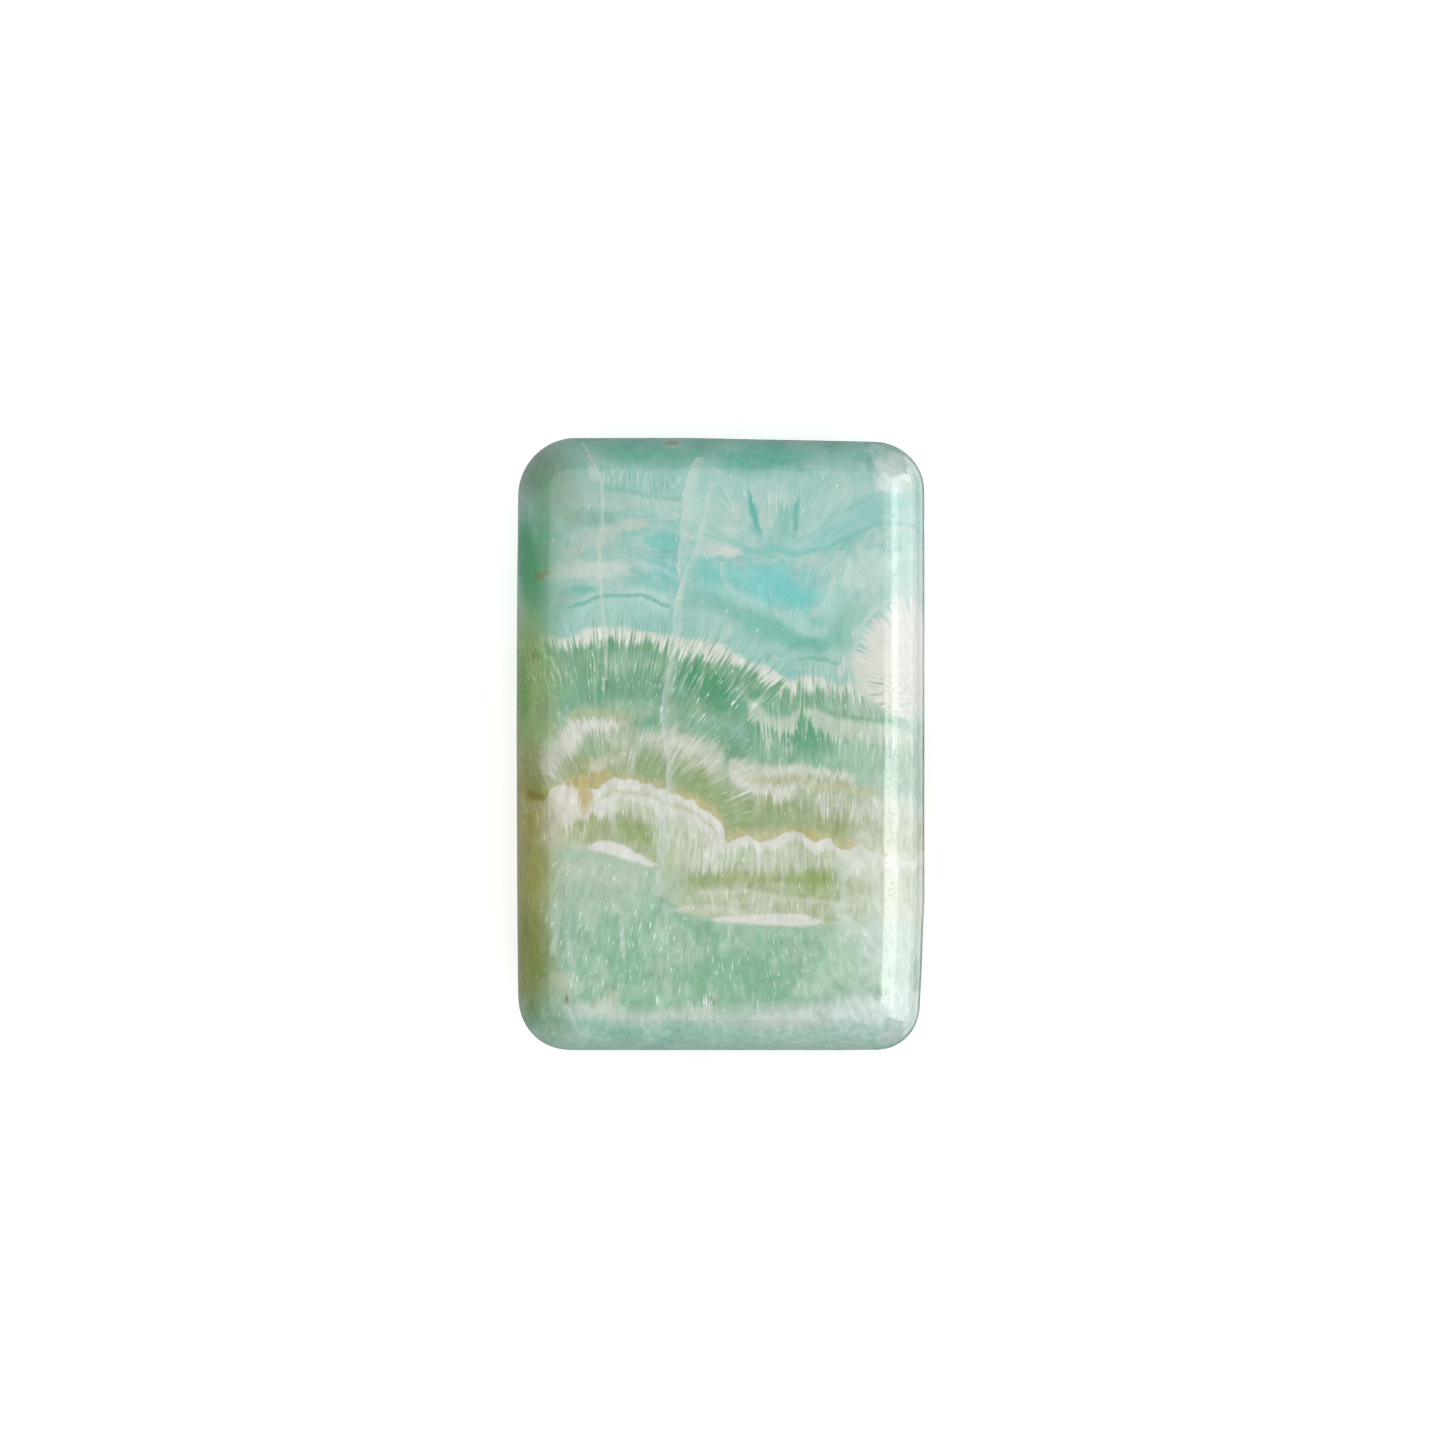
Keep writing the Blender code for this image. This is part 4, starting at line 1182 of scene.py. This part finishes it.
class CloudWash:
    """Works out the tints and the soft stains, and where fibres glint, at each point of the stone's mesh.

    They are soft and wide, so a value at each point is enough for them, and the renderer needn't hold them as
    nodes. Sizes are in mm.
    """

    NAME = "clouds"
    GLINT_NAME = "glints"

    # Noise: how wide, long and deep puffs and wisps are, how far they push a stain's edge, and its octaves
    PUFF = (2.6, 2.6, 2.6)
    WISP = (5.5, 1.1, 4.0)
    PUFF_IN_RADII = 0.65
    OCTAVES = 4
    ROUGHNESS = 0.9
    LACUNARITY = 2.0

    # The milk that lies here and there in the whole stone
    MILK_PUFF = (9.0, 9.0, 9.0)
    MILK_RANGE = (-0.1, 0.6)
    MILK = "d0dcd3"
    MILK_STRENGTH = 0.2

    # Tints: how softly they end at a growth line, the noise that is a patch, and what moves the patches
    TINT_BLUR = 1.0
    PATCH_RANGE = (0.0, 0.5)
    SHIFTS = 97

    # How far from its middle a patch of glints fades, in radii
    GLINT_RANGE = (1.5, 0.5)

    # The least that is divided by
    LEAST_SPACING = 0.5
    LEAST_COVER = 1e-3

    def __init__(self, points: np.ndarray) -> None:
        """Takes the points of the mesh and makes the puffs that billow the edges of all clouds.

        Args:
            points: One row for each point, in mm.
        """
        self.points = points
        along_growth = np.column_stack((points[:, 0], self.level(), points[:, 2]))
        puffs, wisps = self.billow(points, self.PUFF), self.billow(along_growth, self.WISP)
        self.puffs = {Edge.CLOUDED: puffs, Edge.WISPY: wisps}
        self.colours = np.zeros((len(points), 3))
        self.covered = np.zeros(len(points))
        self.glints = np.zeros(len(points))

    def height(self, line: Line) -> np.ndarray:
        """Gives the height of a growth line at each point's place along X, in mm."""
        return np.interp(self.points[:, 0], *zip(*line))

    def level(self) -> np.ndarray:
        """Gives how far each point has come along the growth, in mm as it is on average."""
        y = self.points[:, 1]
        heights = [self.height(line) for line in GROWTH]
        level = np.minimum(y - heights[0], 0) + np.maximum(y - heights[-1], 0)
        for low, high in zip(heights, heights[1:]):
            share = (y - low) / np.maximum(high - low, self.LEAST_SPACING)
            level += np.mean(high - low) * np.clip(share, 0, 1)
        return level

    def billow(self, places: np.ndarray, size: tuple[float, float, float]) -> np.ndarray:
        """Gives cloudy noise.

        Args:
            places: Where it is wanted, one row for each point, in mm.
            size: How wide, long and deep its puffs are, in mm.

        Returns:
            A value for each point, from about -1 to 1.
        """
        kind = (self.ROUGHNESS, self.LACUNARITY, self.OCTAVES)
        return np.array([noise.fractal(Vector(place), *kind) for place in places / size])

    def fade(self, values: np.ndarray, start: float, end: float) -> np.ndarray:
        """Gives a soft step.

        Args:
            values: What is stepped.
            start: Where the step starts from 0.
            end: Where it reaches 1, above or below the start.

        Returns:
            The steps, 0 to 1.
        """
        share = np.clip((values - start) / (end - start), 0, 1)
        return share * share * (3 - 2 * share)

    def cover(self, share: np.ndarray, colour: str) -> None:
        """Lays one more colour over what is there so far.

        Args:
            share: How much it covers at each point, 0 to 1.
            colour: The colour as it is seen, as sRGB hex.
        """
        clear = 1 - share
        self.colours = self.colours * clear[:, None] + np.outer(share, own_colour(colour)[:3])
        self.covered = self.covered * clear + share

    def add_milk(self) -> None:
        """Lets the whole stone turn a little milky here and there."""
        puffs = self.billow(self.points, self.MILK_PUFF)
        self.cover(self.MILK_STRENGTH * self.fade(puffs, *self.MILK_RANGE), self.MILK)

    def add_tint(self, tint: Tint) -> None:
        """Lays patches of another shade between two growth lines.

        Args:
            tint: The patches.
        """
        y = self.points[:, 1]
        blur = self.TINT_BLUR
        above_foot = self.fade(y - self.height(tint.foot), -blur, blur)
        zone = above_foot * self.fade(self.height(tint.top) - y, -blur, blur)
        moved = self.points + int(tint.colour, 16) % self.SHIFTS
        patches = self.fade(self.billow(moved, tint.size), *self.PATCH_RANGE)
        self.cover(tint.strength * zone * patches, tint.colour)

    def add_glints(self, place: Glints) -> None:
        """Marks a place where cut fibres glint.

        Args:
            place: The place.
        """
        offsets = self.points - np.array((*place.centre, FACE_Z))
        x, y, z = (offsets / (*place.radii, USUAL_DEPTH)).T
        share = place.strength * self.fade(np.sqrt(x * x + y * y + z * z), *self.GLINT_RANGE)
        self.glints = np.maximum(self.glints, share)

    def add_stain(self, stain: Stain) -> None:
        """Lays a stain.

        Args:
            stain: The stain.
        """
        turn = math.radians(stain.tilt)
        x, y, z = (self.points - np.array((*stain.centre, FACE_Z))).T
        right = (x * math.cos(turn) + y * math.sin(turn)) / stain.radii[0]
        up = (y * math.cos(turn) - x * math.sin(turn)) / stain.radii[1]
        distance = np.sqrt(right**2 + up**2 + (z / stain.depth) ** 2)
        if stain.edge in self.puffs:
            distance += self.PUFF_IN_RADII * self.puffs[stain.edge]
        share = self.fade(distance, 1 + stain.soft / 2, 1 - stain.soft / 2)
        self.cover(stain.strength * share, stain.colour)

    def store(self, mesh: bpy.types.Mesh) -> None:
        """Writes the clouds and the places that glint to the mesh.

        Args:
            mesh: The mesh that the points belong to.
        """
        layer = mesh.attributes.new(self.NAME, "FLOAT_COLOR", "POINT")
        colours = self.colours / np.maximum(self.covered, self.LEAST_COVER)[:, None]
        layer.data.foreach_set("color", np.column_stack((colours, self.covered)).ravel())
        layer = mesh.attributes.new(self.GLINT_NAME, "FLOAT", "POINT")
        layer.data.foreach_set("value", self.glints)


@dataclass(frozen=True)
class PolishedCalcite:
    """Calcite with aragonite, sawn, ground and polished to a gloss.

    The polish gives hard, bright reflections. The chalky white layers take it less well, so they shine less,
    and the open ends of fibres leave fine pits.

    Attributes:
        name: The material's name.
        ior: The index of refraction of calcite.
        gloss: The roughness of the green growth.
        chalk_gloss: The roughness of the chalky layers.
        chalk_range: The lightness at which chalk starts, and the one at which all is chalk.
        pit_depth: How deep the pits are, in mm.
        pit_size: How far apart they are, in mm.
        pit_noise: The detail and the roughness of the noise that spreads them.
        pit_range: The noise at a pit's rim, and at its floor.
    """

    name: str = "polished_caribbean_calcite"
    ior: float = 1.57
    gloss: float = 0.08
    chalk_gloss: float = 0.15
    chalk_range: tuple[float, float] = (0.35, 0.65)
    pit_depth: float = 0.03
    pit_size: float = 0.4
    pit_noise: tuple[float, float] = (2.0, 0.5)
    pit_range: tuple[float, float] = (0.64, 0.74)

    def make(self) -> bpy.types.Material:
        """Makes the material.

        Returns:
            The material, with its pattern in Object coordinates.
        """
        material = bpy.data.materials.new(self.name)
        material.use_nodes = True
        tree = material.node_tree
        shader = tree.nodes["Principled BSDF"]
        painter = StonePainter(tree)
        painter.paint_layers(LAYERS)
        painter.paint_bands()
        painter.lay_clouds()
        for stain in STAINS:
            if stain.edge in FIBROUS:
                painter.paint_stain(stain)
        for lens in LENSES:
            painter.paint_lens(lens)
        for seam in SEAMS:
            painter.paint_seam(seam)
        for crack in CRACKS:
            painter.paint_crack(crack)
        for hairs in HAIRS:
            painter.paint_hairs(hairs)
        painter.paint_glints()
        painter.mottle_over()
        tree.links.new(painter.colour, shader.inputs["Base Color"])
        self.polish(tree, painter, shader)
        shader.inputs["IOR"].default_value = self.ior
        return material

    def cloud(self, mesh: bpy.types.Mesh) -> None:
        """Gives each point of a mesh the clouds that lie under it.

        Args:
            mesh: The mesh, in metres.
        """
        points = np.empty(len(mesh.vertices) * 3)
        mesh.vertices.foreach_get("co", points)
        wash = CloudWash(points.reshape(-1, 3) * DRAWN_MM)
        wash.add_milk()
        for tint in TINTS:
            wash.add_tint(tint)
        for stain in STAINS:
            if stain.edge not in FIBROUS:
                wash.add_stain(stain)
        for place in GLINTS:
            wash.add_glints(place)
        wash.store(mesh)

    def polish(self, tree: bpy.types.NodeTree, painter: StonePainter, shader: bpy.types.ShaderNode) -> None:
        """Sets how rough the polished surface is, and presses the fine pits into it.

        Args:
            tree: The material's node tree.
            painter: What has painted the stone.
            shader: The material's shader.
        """
        lightness = add_node(tree, "RGBToBW", (painter.colour,))
        feeds = (lightness, *self.chalk_range, self.gloss, self.chalk_gloss)
        roughness = add_node(tree, "MapRange", feeds, **SOFT_STEP)
        tree.links.new(roughness, shader.inputs["Roughness"])
        pits = add_node(tree, "TexNoise", (painter.place, 1 / self.pit_size, *self.pit_noise))
        pits = add_node(tree, "MapRange", (pits, *self.pit_range, 0.0, -self.pit_depth), **SOFT_STEP)
        bump = add_node(tree, "Bump", (1.0, 1 / MM, None, pits))
        tree.links.new(bump, shader.inputs["Normal"])


@dataclass(frozen=True)
class Corner:
    """One corner of the stone's plan, as a radius in metres and the exponent of its curve."""

    radius: float
    exponent: float


@dataclass
class PillowStone:
    """The stone: a tablet with soft corners, a gently crowned upper face and a lower face flat in its middle.

    Its form is the solid's own formula, cut finer. Lengths are metres.
    """

    # The solid's box, and the finish
    low: Vector
    high: Vector
    finish: PolishedCalcite

    # The plan's corners, and how far its sides leave the rectangle between them
    back_left: Corner = Corner(0.0071, 2.0)
    back_right: Corner = Corner(0.0061, 2.0)
    front_left: Corner = Corner(0.0068, 2.2)
    front_right: Corner = Corner(0.0057, 2.2)
    left_side_drawn_in: float = 0.00025
    right_side_taper: float = 0.0015
    right_taper_starts: float = 0.5
    back_side_slope: float = 0.020
    back_slope_starts_at_x: float = -0.0040

    # The rounded edge between a face and a side, and the side's own swell
    edge_reach: float = 0.0054
    edge_drop: float = 0.0078
    edge_exponent: float = 2.2
    side_swell: float = 0.0004

    # The crown of the upper face, and the lower face, which rises only outside its flat
    upper_crown: float = 0.0011
    lower_rise: float = 0.0006
    lower_flat_share: float = 0.62

    # The mesh: the core from which the surface is sought, the quads, and the search
    core_depth: float = 0.0100
    quad: float = 0.00041
    corner_finer: float = 1.25
    search_reach: float = 1.2
    bisections: int = 32

    # The unevenness that hand polishing leaves: long waves and short ripples
    wave_depth: float = 0.00004
    wave_length: float = 0.008
    ripple_depth: float = 0.000010
    ripple_length: float = 0.0025
    wave_count: int = 9
    wave_spread: tuple[float, float] = (0.7, 1.3)
    wave_seed: int = 11

    def __post_init__(self) -> None:
        """Reads the overall size off the frame's box."""
        size = self.high - self.low
        self.width, self.length, self.thickness = size
        self.core = (self.width / 2 - self.core_depth, self.length / 2 - self.core_depth, 0.0)

    def squared_up(self, x: np.ndarray, y: np.ndarray) -> tuple[np.ndarray, np.ndarray]:
        """Moves plan points to where they would lie if all four sides were straight and square.

        Args:
            x: Their places across the stone.
            y: Their places along it.

        Returns:
            The moved places, across and along.
        """
        along = y / (self.length / 2)
        left_in = self.left_side_drawn_in * along**2
        right_in = self.right_side_taper * np.maximum(0.0, -along - self.right_taper_starts)
        side_in = np.where(x < 0, left_in, right_in)
        slope = self.back_side_slope * np.maximum(0.0, x - self.back_slope_starts_at_x)
        back_in = np.where(y > 0, slope, 0.0)
        return x / (1 - side_in / (self.width / 2)), y / (1 - back_in / (self.length / 2))

    def inset(self, x: np.ndarray, y: np.ndarray) -> np.ndarray:
        """Gives how far plan points lie inside the stone's outline.

        Args:
            x: Their places across the stone.
            y: Their places along it.

        Returns:
            The distances, negative outside.
        """
        u, v = self.squared_up(x, y)
        corners = (self.back_left, self.back_right, self.front_left, self.front_right)
        sides = ((x < 0) & (y >= 0), (x >= 0) & (y >= 0), (x < 0) & (y < 0), (x >= 0) & (y < 0))
        radius = np.select(sides, [corner.radius for corner in corners])
        exponent = np.select(sides, [corner.exponent for corner in corners])
        across = np.abs(u) - self.width / 2 + radius
        along = np.abs(v) - self.length / 2 + radius
        around = (np.maximum(across, 0.0) ** exponent + np.maximum(along, 0.0) ** exponent) ** (1 / exponent)
        return radius - around - np.minimum(np.maximum(across, along), 0.0)

    def face_height(self, x: np.ndarray, y: np.ndarray, upper: np.ndarray) -> np.ndarray:
        """Gives the height of a face above or below the mid plane, before the edge rounds it off.

        Args:
            x: Places across the stone.
            y: Places along it.
            upper: True for the upper face, False for the lower one.

        Returns:
            The heights.
        """
        off_centre = ((x / (self.width / 2)) ** 2 + (y / (self.length / 2)) ** 2) / 2
        flat = self.lower_flat_share
        past_flat = np.maximum(0.0, np.sqrt(off_centre) - flat) / (1 - flat)
        drop = np.where(upper, self.upper_crown * off_centre, self.lower_rise * past_flat)
        return self.thickness / 2 - drop

    def outside(self, points: np.ndarray) -> np.ndarray:
        """Tells on which side of the surface points lie.

        Args:
            points: One row for each point, with heights from the mid plane.

        Returns:
            Positive outside the stone, negative inside.
        """
        x, y, z = points.T
        face = self.face_height(x, y, z > 0)
        rim = self.inset(x, y) - self.side_swell * (z / face) ** 2
        towards_side = np.maximum(0.0, 1 - rim / self.edge_reach)
        towards_face = np.maximum(0.0, 1 + (np.abs(z) - face) / self.edge_drop)
        return towards_side**self.edge_exponent + towards_face**self.edge_exponent - 1

    def waves(self, points: np.ndarray, length: float, seed: int) -> np.ndarray:
        """Gives the slight unevenness that hand polishing leaves.

        Args:
            points: One row for each point.
            length: The length of its waves.
            seed: What picks their directions.

        Returns:
            A value from 0 to 1 for each point.
        """
        random = np.random.default_rng(seed)
        total = np.zeros(len(points))
        for _ in range(self.wave_count):
            way = random.normal(size=3)
            way *= 2 * math.pi / length / np.linalg.norm(way)
            total += np.sin(points @ way * random.uniform(*self.wave_spread) + random.uniform(0, 2 * math.pi))
        return 0.5 + 0.5 * np.clip(total / math.sqrt(self.wave_count) / 2, -1, 1)

    def on_surface(self, box_points: np.ndarray) -> np.ndarray:
        """Moves the points of the stone's box on to its surface, seen from a core deep inside it.

        Args:
            box_points: One row for each point of the box.

        Returns:
            The points on the surface.
        """
        limits = np.array(self.core)
        core = np.clip(box_points, -limits, limits)
        way = box_points - core
        near = np.zeros(len(way))
        far = np.full(len(way), self.search_reach)
        for _ in range(self.bisections):
            middle = (near + far) / 2
            out = self.outside(core + way * middle[:, None]) > 0
            far = np.where(out, middle, far)
            near = np.where(out, near, middle)
        return core + way * near[:, None]

    def uneven(self, points: np.ndarray) -> np.ndarray:
        """Presses the polished surface in a little here and there, but leaves the face that it rests on flat.

        Args:
            points: One row for each point of the surface, with heights from the mid plane.

        Returns:
            The points after that.
        """
        depth = self.wave_depth * self.waves(points, self.wave_length, self.wave_seed)
        depth += self.ripple_depth * self.waves(points, self.ripple_length, self.wave_seed + 1)
        above_rest = (points[:, 2] + self.thickness / 2) / self.edge_drop
        depth *= np.clip(above_rest, 0, 1)
        limits = np.array(self.core)
        inward = np.clip(points, -limits, limits) - points
        return points + inward * (depth / np.linalg.norm(inward, axis=1))[:, None]

    def row_places(self, half: float, core: float) -> list[float]:
        """Gives where the rows between the box's quads stand along one axis.

        Args:
            half: Half the box's size along the axis.
            core: Half the core's size along it.

        Returns:
            The places, from the low end to the high end.
        """
        middle_quads = round(2 * core / self.quad)
        widest = math.atan((half - core) / self.core_depth)
        corner_quads = round(widest * self.core_depth * self.corner_finer / self.quad)
        rows = range(-middle_quads, middle_quads + 1, 2)
        middle = [core * row / max(1, middle_quads) for row in rows]
        angles = [widest * (row + 1) / corner_quads for row in range(corner_quads)]
        end = [core + self.core_depth * math.tan(angle) for angle in angles]
        return [-place for place in reversed(end)] + middle + end

    def gridded_box(self) -> bmesh.types.BMesh:
        """Makes the stone's bounding box as a bmesh of quads, with its middle at the origin.

        Returns:
            The box, cut from a cube with corners half a unit from its middle.
        """
        bm = bmesh.new()
        bmesh.ops.create_cube(bm, size=1.0)
        half_sizes = (self.width / 2, self.length / 2, self.thickness / 2)
        for axis, half in enumerate(half_sizes):
            places = self.row_places(half, self.core[axis])
            quads = len(places) - 1
            uncut = [e for e in bm.edges if abs(e.verts[0].co[axis] - e.verts[1].co[axis]) > 0.5]
            bmesh.ops.subdivide_edges(bm, edges=uncut, cuts=quads - 1, use_grid_fill=True)
            for vert in bm.verts:
                vert.co[axis] = places[round((vert.co[axis] + 0.5) * quads)]
        return bm

    def build(self) -> bpy.types.Object:
        """Builds the stone's fine mesh.

        Returns:
            The stone, at the origin, with its place in its mesh.
        """
        bm = self.gridded_box()
        mesh = bpy.data.meshes.new("polished_pillow_stone")
        bm.to_mesh(mesh)
        bm.free()
        points = np.empty(len(mesh.vertices) * 3)
        mesh.vertices.foreach_get("co", points)
        points = self.uneven(self.on_surface(points.reshape(-1, 3)))
        points += np.array((self.low + self.high) / 2)
        mesh.vertices.foreach_set("co", points.ravel())
        mesh.update()
        mesh.shade_smooth()
        stone = bpy.data.objects.new(mesh.name, mesh)
        bpy.context.scene.collection.objects.link(stone)
        return stone

    def dress(self, stone: bpy.types.Object) -> None:
        """Gives the stone its finish, and lets it stand for the solid.

        Args:
            stone: The stone.
        """
        self.finish.cloud(stone.data)
        stone.data.materials.append(self.finish.make())
        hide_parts(NODE)
        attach(stone, BODY)


@dataclass(frozen=True)
class Panel:
    """A flat light.

    Attributes:
        name: Its name.
        place: Where its middle is, in metres.
        size: Its size across and along, in metres.
        radiance: How bright its surface is, where 1 is the white of the picture.
        lights: True where it lights the scene.
        mirrored: True where the polish mirrors it.
    """

    name: str
    place: tuple[float, float, float]
    size: tuple[float, float]
    radiance: float
    lights: bool
    mirrored: bool

    def hang(self, aim: Vector) -> None:
        """Hangs the light in the scene.

        Args:
            aim: The point that it faces.
        """
        light = bpy.data.lights.new(self.name, "AREA")
        light.shape = "RECTANGLE"
        light.size, light.size_y = self.size
        light.energy = math.pi * self.radiance * self.size[0] * self.size[1]
        lamp = bpy.data.objects.new(self.name, light)
        lamp.visible_diffuse = self.lights
        lamp.visible_glossy = self.mirrored
        lamp.location = self.place
        lamp.rotation_euler = (Vector(self.place) - aim).to_track_quat("Z", "Y").to_euler()
        bpy.context.scene.collection.objects.link(lamp)


@dataclass(frozen=True)
class Studio:
    """A pale floor under large soft lights, with a strip light, a window and two cards on the right.

    The polish mirrors the softbox overhead and all that stands on the right, and round them a dim room. What
    stands on the right shows in the polish alone and lights nothing.
    """

    # The floor glows a little by itself, so that it shows plain white
    floor_colour: str = "f2f2f1"
    floor_half: float = 1.5
    floor_glow: float = 0.35

    # The room: how bright it is to the camera, as a light, and in the polish
    sky_colour: str = "e8ecec"
    sky_strength: float = 0.9
    room_strength: float = 0.1
    mirrored_room: float = 0.4

    # Overhead: what the polish mirrors, and what only lights
    softbox: Panel = Panel("softbox", (0.0, 0.0, 1.0), (1.8, 1.8), 1.1, True, True)
    bounce: Panel = Panel("bounce", (0.0, 0.0, 1.2), (3.0, 3.0), 0.7, True, False)

    # On the right: the light of the long highlight, two panels for its inner side, the window for what lies
    # outside it, and two cards below the floor for the steep part of the edge. The polish mirrors no floor.
    strip: Panel = Panel("strip", (0.43, -0.022, 0.413), (0.25, 0.25), 2.8, False, True)
    strip_foot: Panel = Panel("strip_foot", (0.286, -0.058, 0.54), (0.141, 0.21), 4.2, False, True)
    halo: Panel = Panel("halo", (0.272, 0.0, 0.535), (1.2, 0.2), 1.6, False, True)
    window: Panel = Panel("window", (0.9, 0.0, 0.25), (1.2, 1.3), 4.7, False, True)
    right_sill: Panel = Panel("right_sill", (0.805, 0.0, -0.39), (1.2, 0.205), 2.6, False, True)
    right_card: Panel = Panel("right_card", (0.614, 0.0, -0.658), (1.2, 0.47), 1.2, False, True)

    def build(self, aim: Vector) -> None:
        """Lays the floor, hangs the lights and sets the world.

        Args:
            aim: The point that the lights face.
        """
        self.lay_floor()
        overhead = (self.softbox, self.bounce)
        on_right = (self.strip, self.strip_foot, self.halo, self.window, self.right_sill, self.right_card)
        for panel in overhead + on_right:
            panel.hang(aim)
        self.set_world()
        bpy.context.scene.view_settings.view_transform = "Standard"

    def lay_floor(self) -> None:
        """Lays the floor that the stone rests on."""
        bm = bmesh.new()
        bmesh.ops.create_grid(bm, x_segments=1, y_segments=1, size=self.floor_half)
        mesh = bpy.data.meshes.new("floor")
        bm.to_mesh(mesh)
        bm.free()
        floor = bpy.data.objects.new("floor", mesh)
        bpy.context.scene.collection.objects.link(floor)
        material = bpy.data.materials.new("matt_white_card")
        material.use_nodes = True
        shader = material.node_tree.nodes["Principled BSDF"]
        shader.inputs["Base Color"].default_value = linear(self.floor_colour)
        shader.inputs["Roughness"].default_value = 1.0
        shader.inputs["Specular IOR Level"].default_value = 0.0
        shader.inputs["Emission Color"].default_value = linear(self.floor_colour)
        shader.inputs["Emission Strength"].default_value = self.floor_glow
        mesh.materials.append(material)
        floor.visible_glossy = False

    def set_world(self) -> None:
        """Makes the room dim to the stone and pale to the camera."""
        world = bpy.data.worlds.new("room")
        bpy.context.scene.world = world
        world.use_nodes = True
        tree = world.node_tree
        background = tree.nodes["Background"]
        background.inputs["Color"].default_value = linear(self.sky_colour)
        rays = add_node(tree, "LightPath").node.outputs
        strengths = (rays["Is Glossy Ray"], self.room_strength, self.mirrored_room)
        strength = add_node(tree, "Mix", strengths, data_type="FLOAT")
        strengths = (rays["Is Camera Ray"], strength, self.sky_strength)
        strength = add_node(tree, "Mix", strengths, data_type="FLOAT")
        tree.links.new(strength, background.inputs["Strength"])


@dataclass(frozen=True)
class Viewpoint:
    """The camera, which looks straight down.

    Attributes:
        over: The point of the stone's mid plane in the middle of the picture, across and along, in metres.
        lens: The focal length, in mm.
        sensor: The width of the sensor, in mm.
        view: The width of the stone's mid plane that the picture takes in, in metres.
        nearest: How near a thing may come and still be seen, in metres.
    """

    over: tuple[float, float] = (0.00024, 0.00263)
    lens: float = 100.0
    sensor: float = 36.0
    view: float = 0.1781
    nearest: float = 0.01

    def build(self, mid_plane: float) -> None:
        """Places the camera over the stone.

        Args:
            mid_plane: The height of the stone's mid plane, in metres.
        """
        camera = bpy.data.cameras.new("camera")
        camera.lens = self.lens
        camera.sensor_width = self.sensor
        camera.clip_start = self.nearest
        holder = bpy.data.objects.new("camera", camera)
        holder.location = (*self.over, mid_plane + self.view * self.lens / self.sensor)
        bpy.context.scene.collection.objects.link(holder)
        bpy.context.scene.camera = holder


def main() -> None:
    """Builds the camera, the studio and the stone."""
    logging.basicConfig(level=logging.INFO, format="%(name)s: %(message)s")
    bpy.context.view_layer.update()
    low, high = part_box(NODE)
    middle = (low + high) / 2
    Viewpoint().build(middle.z)
    Studio().build(middle)
    stone = PillowStone(low, high, PolishedCalcite())
    piece = stone.build()
    stone.dress(piece)
    nodes = len(piece.data.materials[0].node_tree.nodes)
    log.info("%s: %d quads, %d nodes in its material", piece.name, len(piece.data.polygons), nodes)


if __name__ == "__main__":
    main()
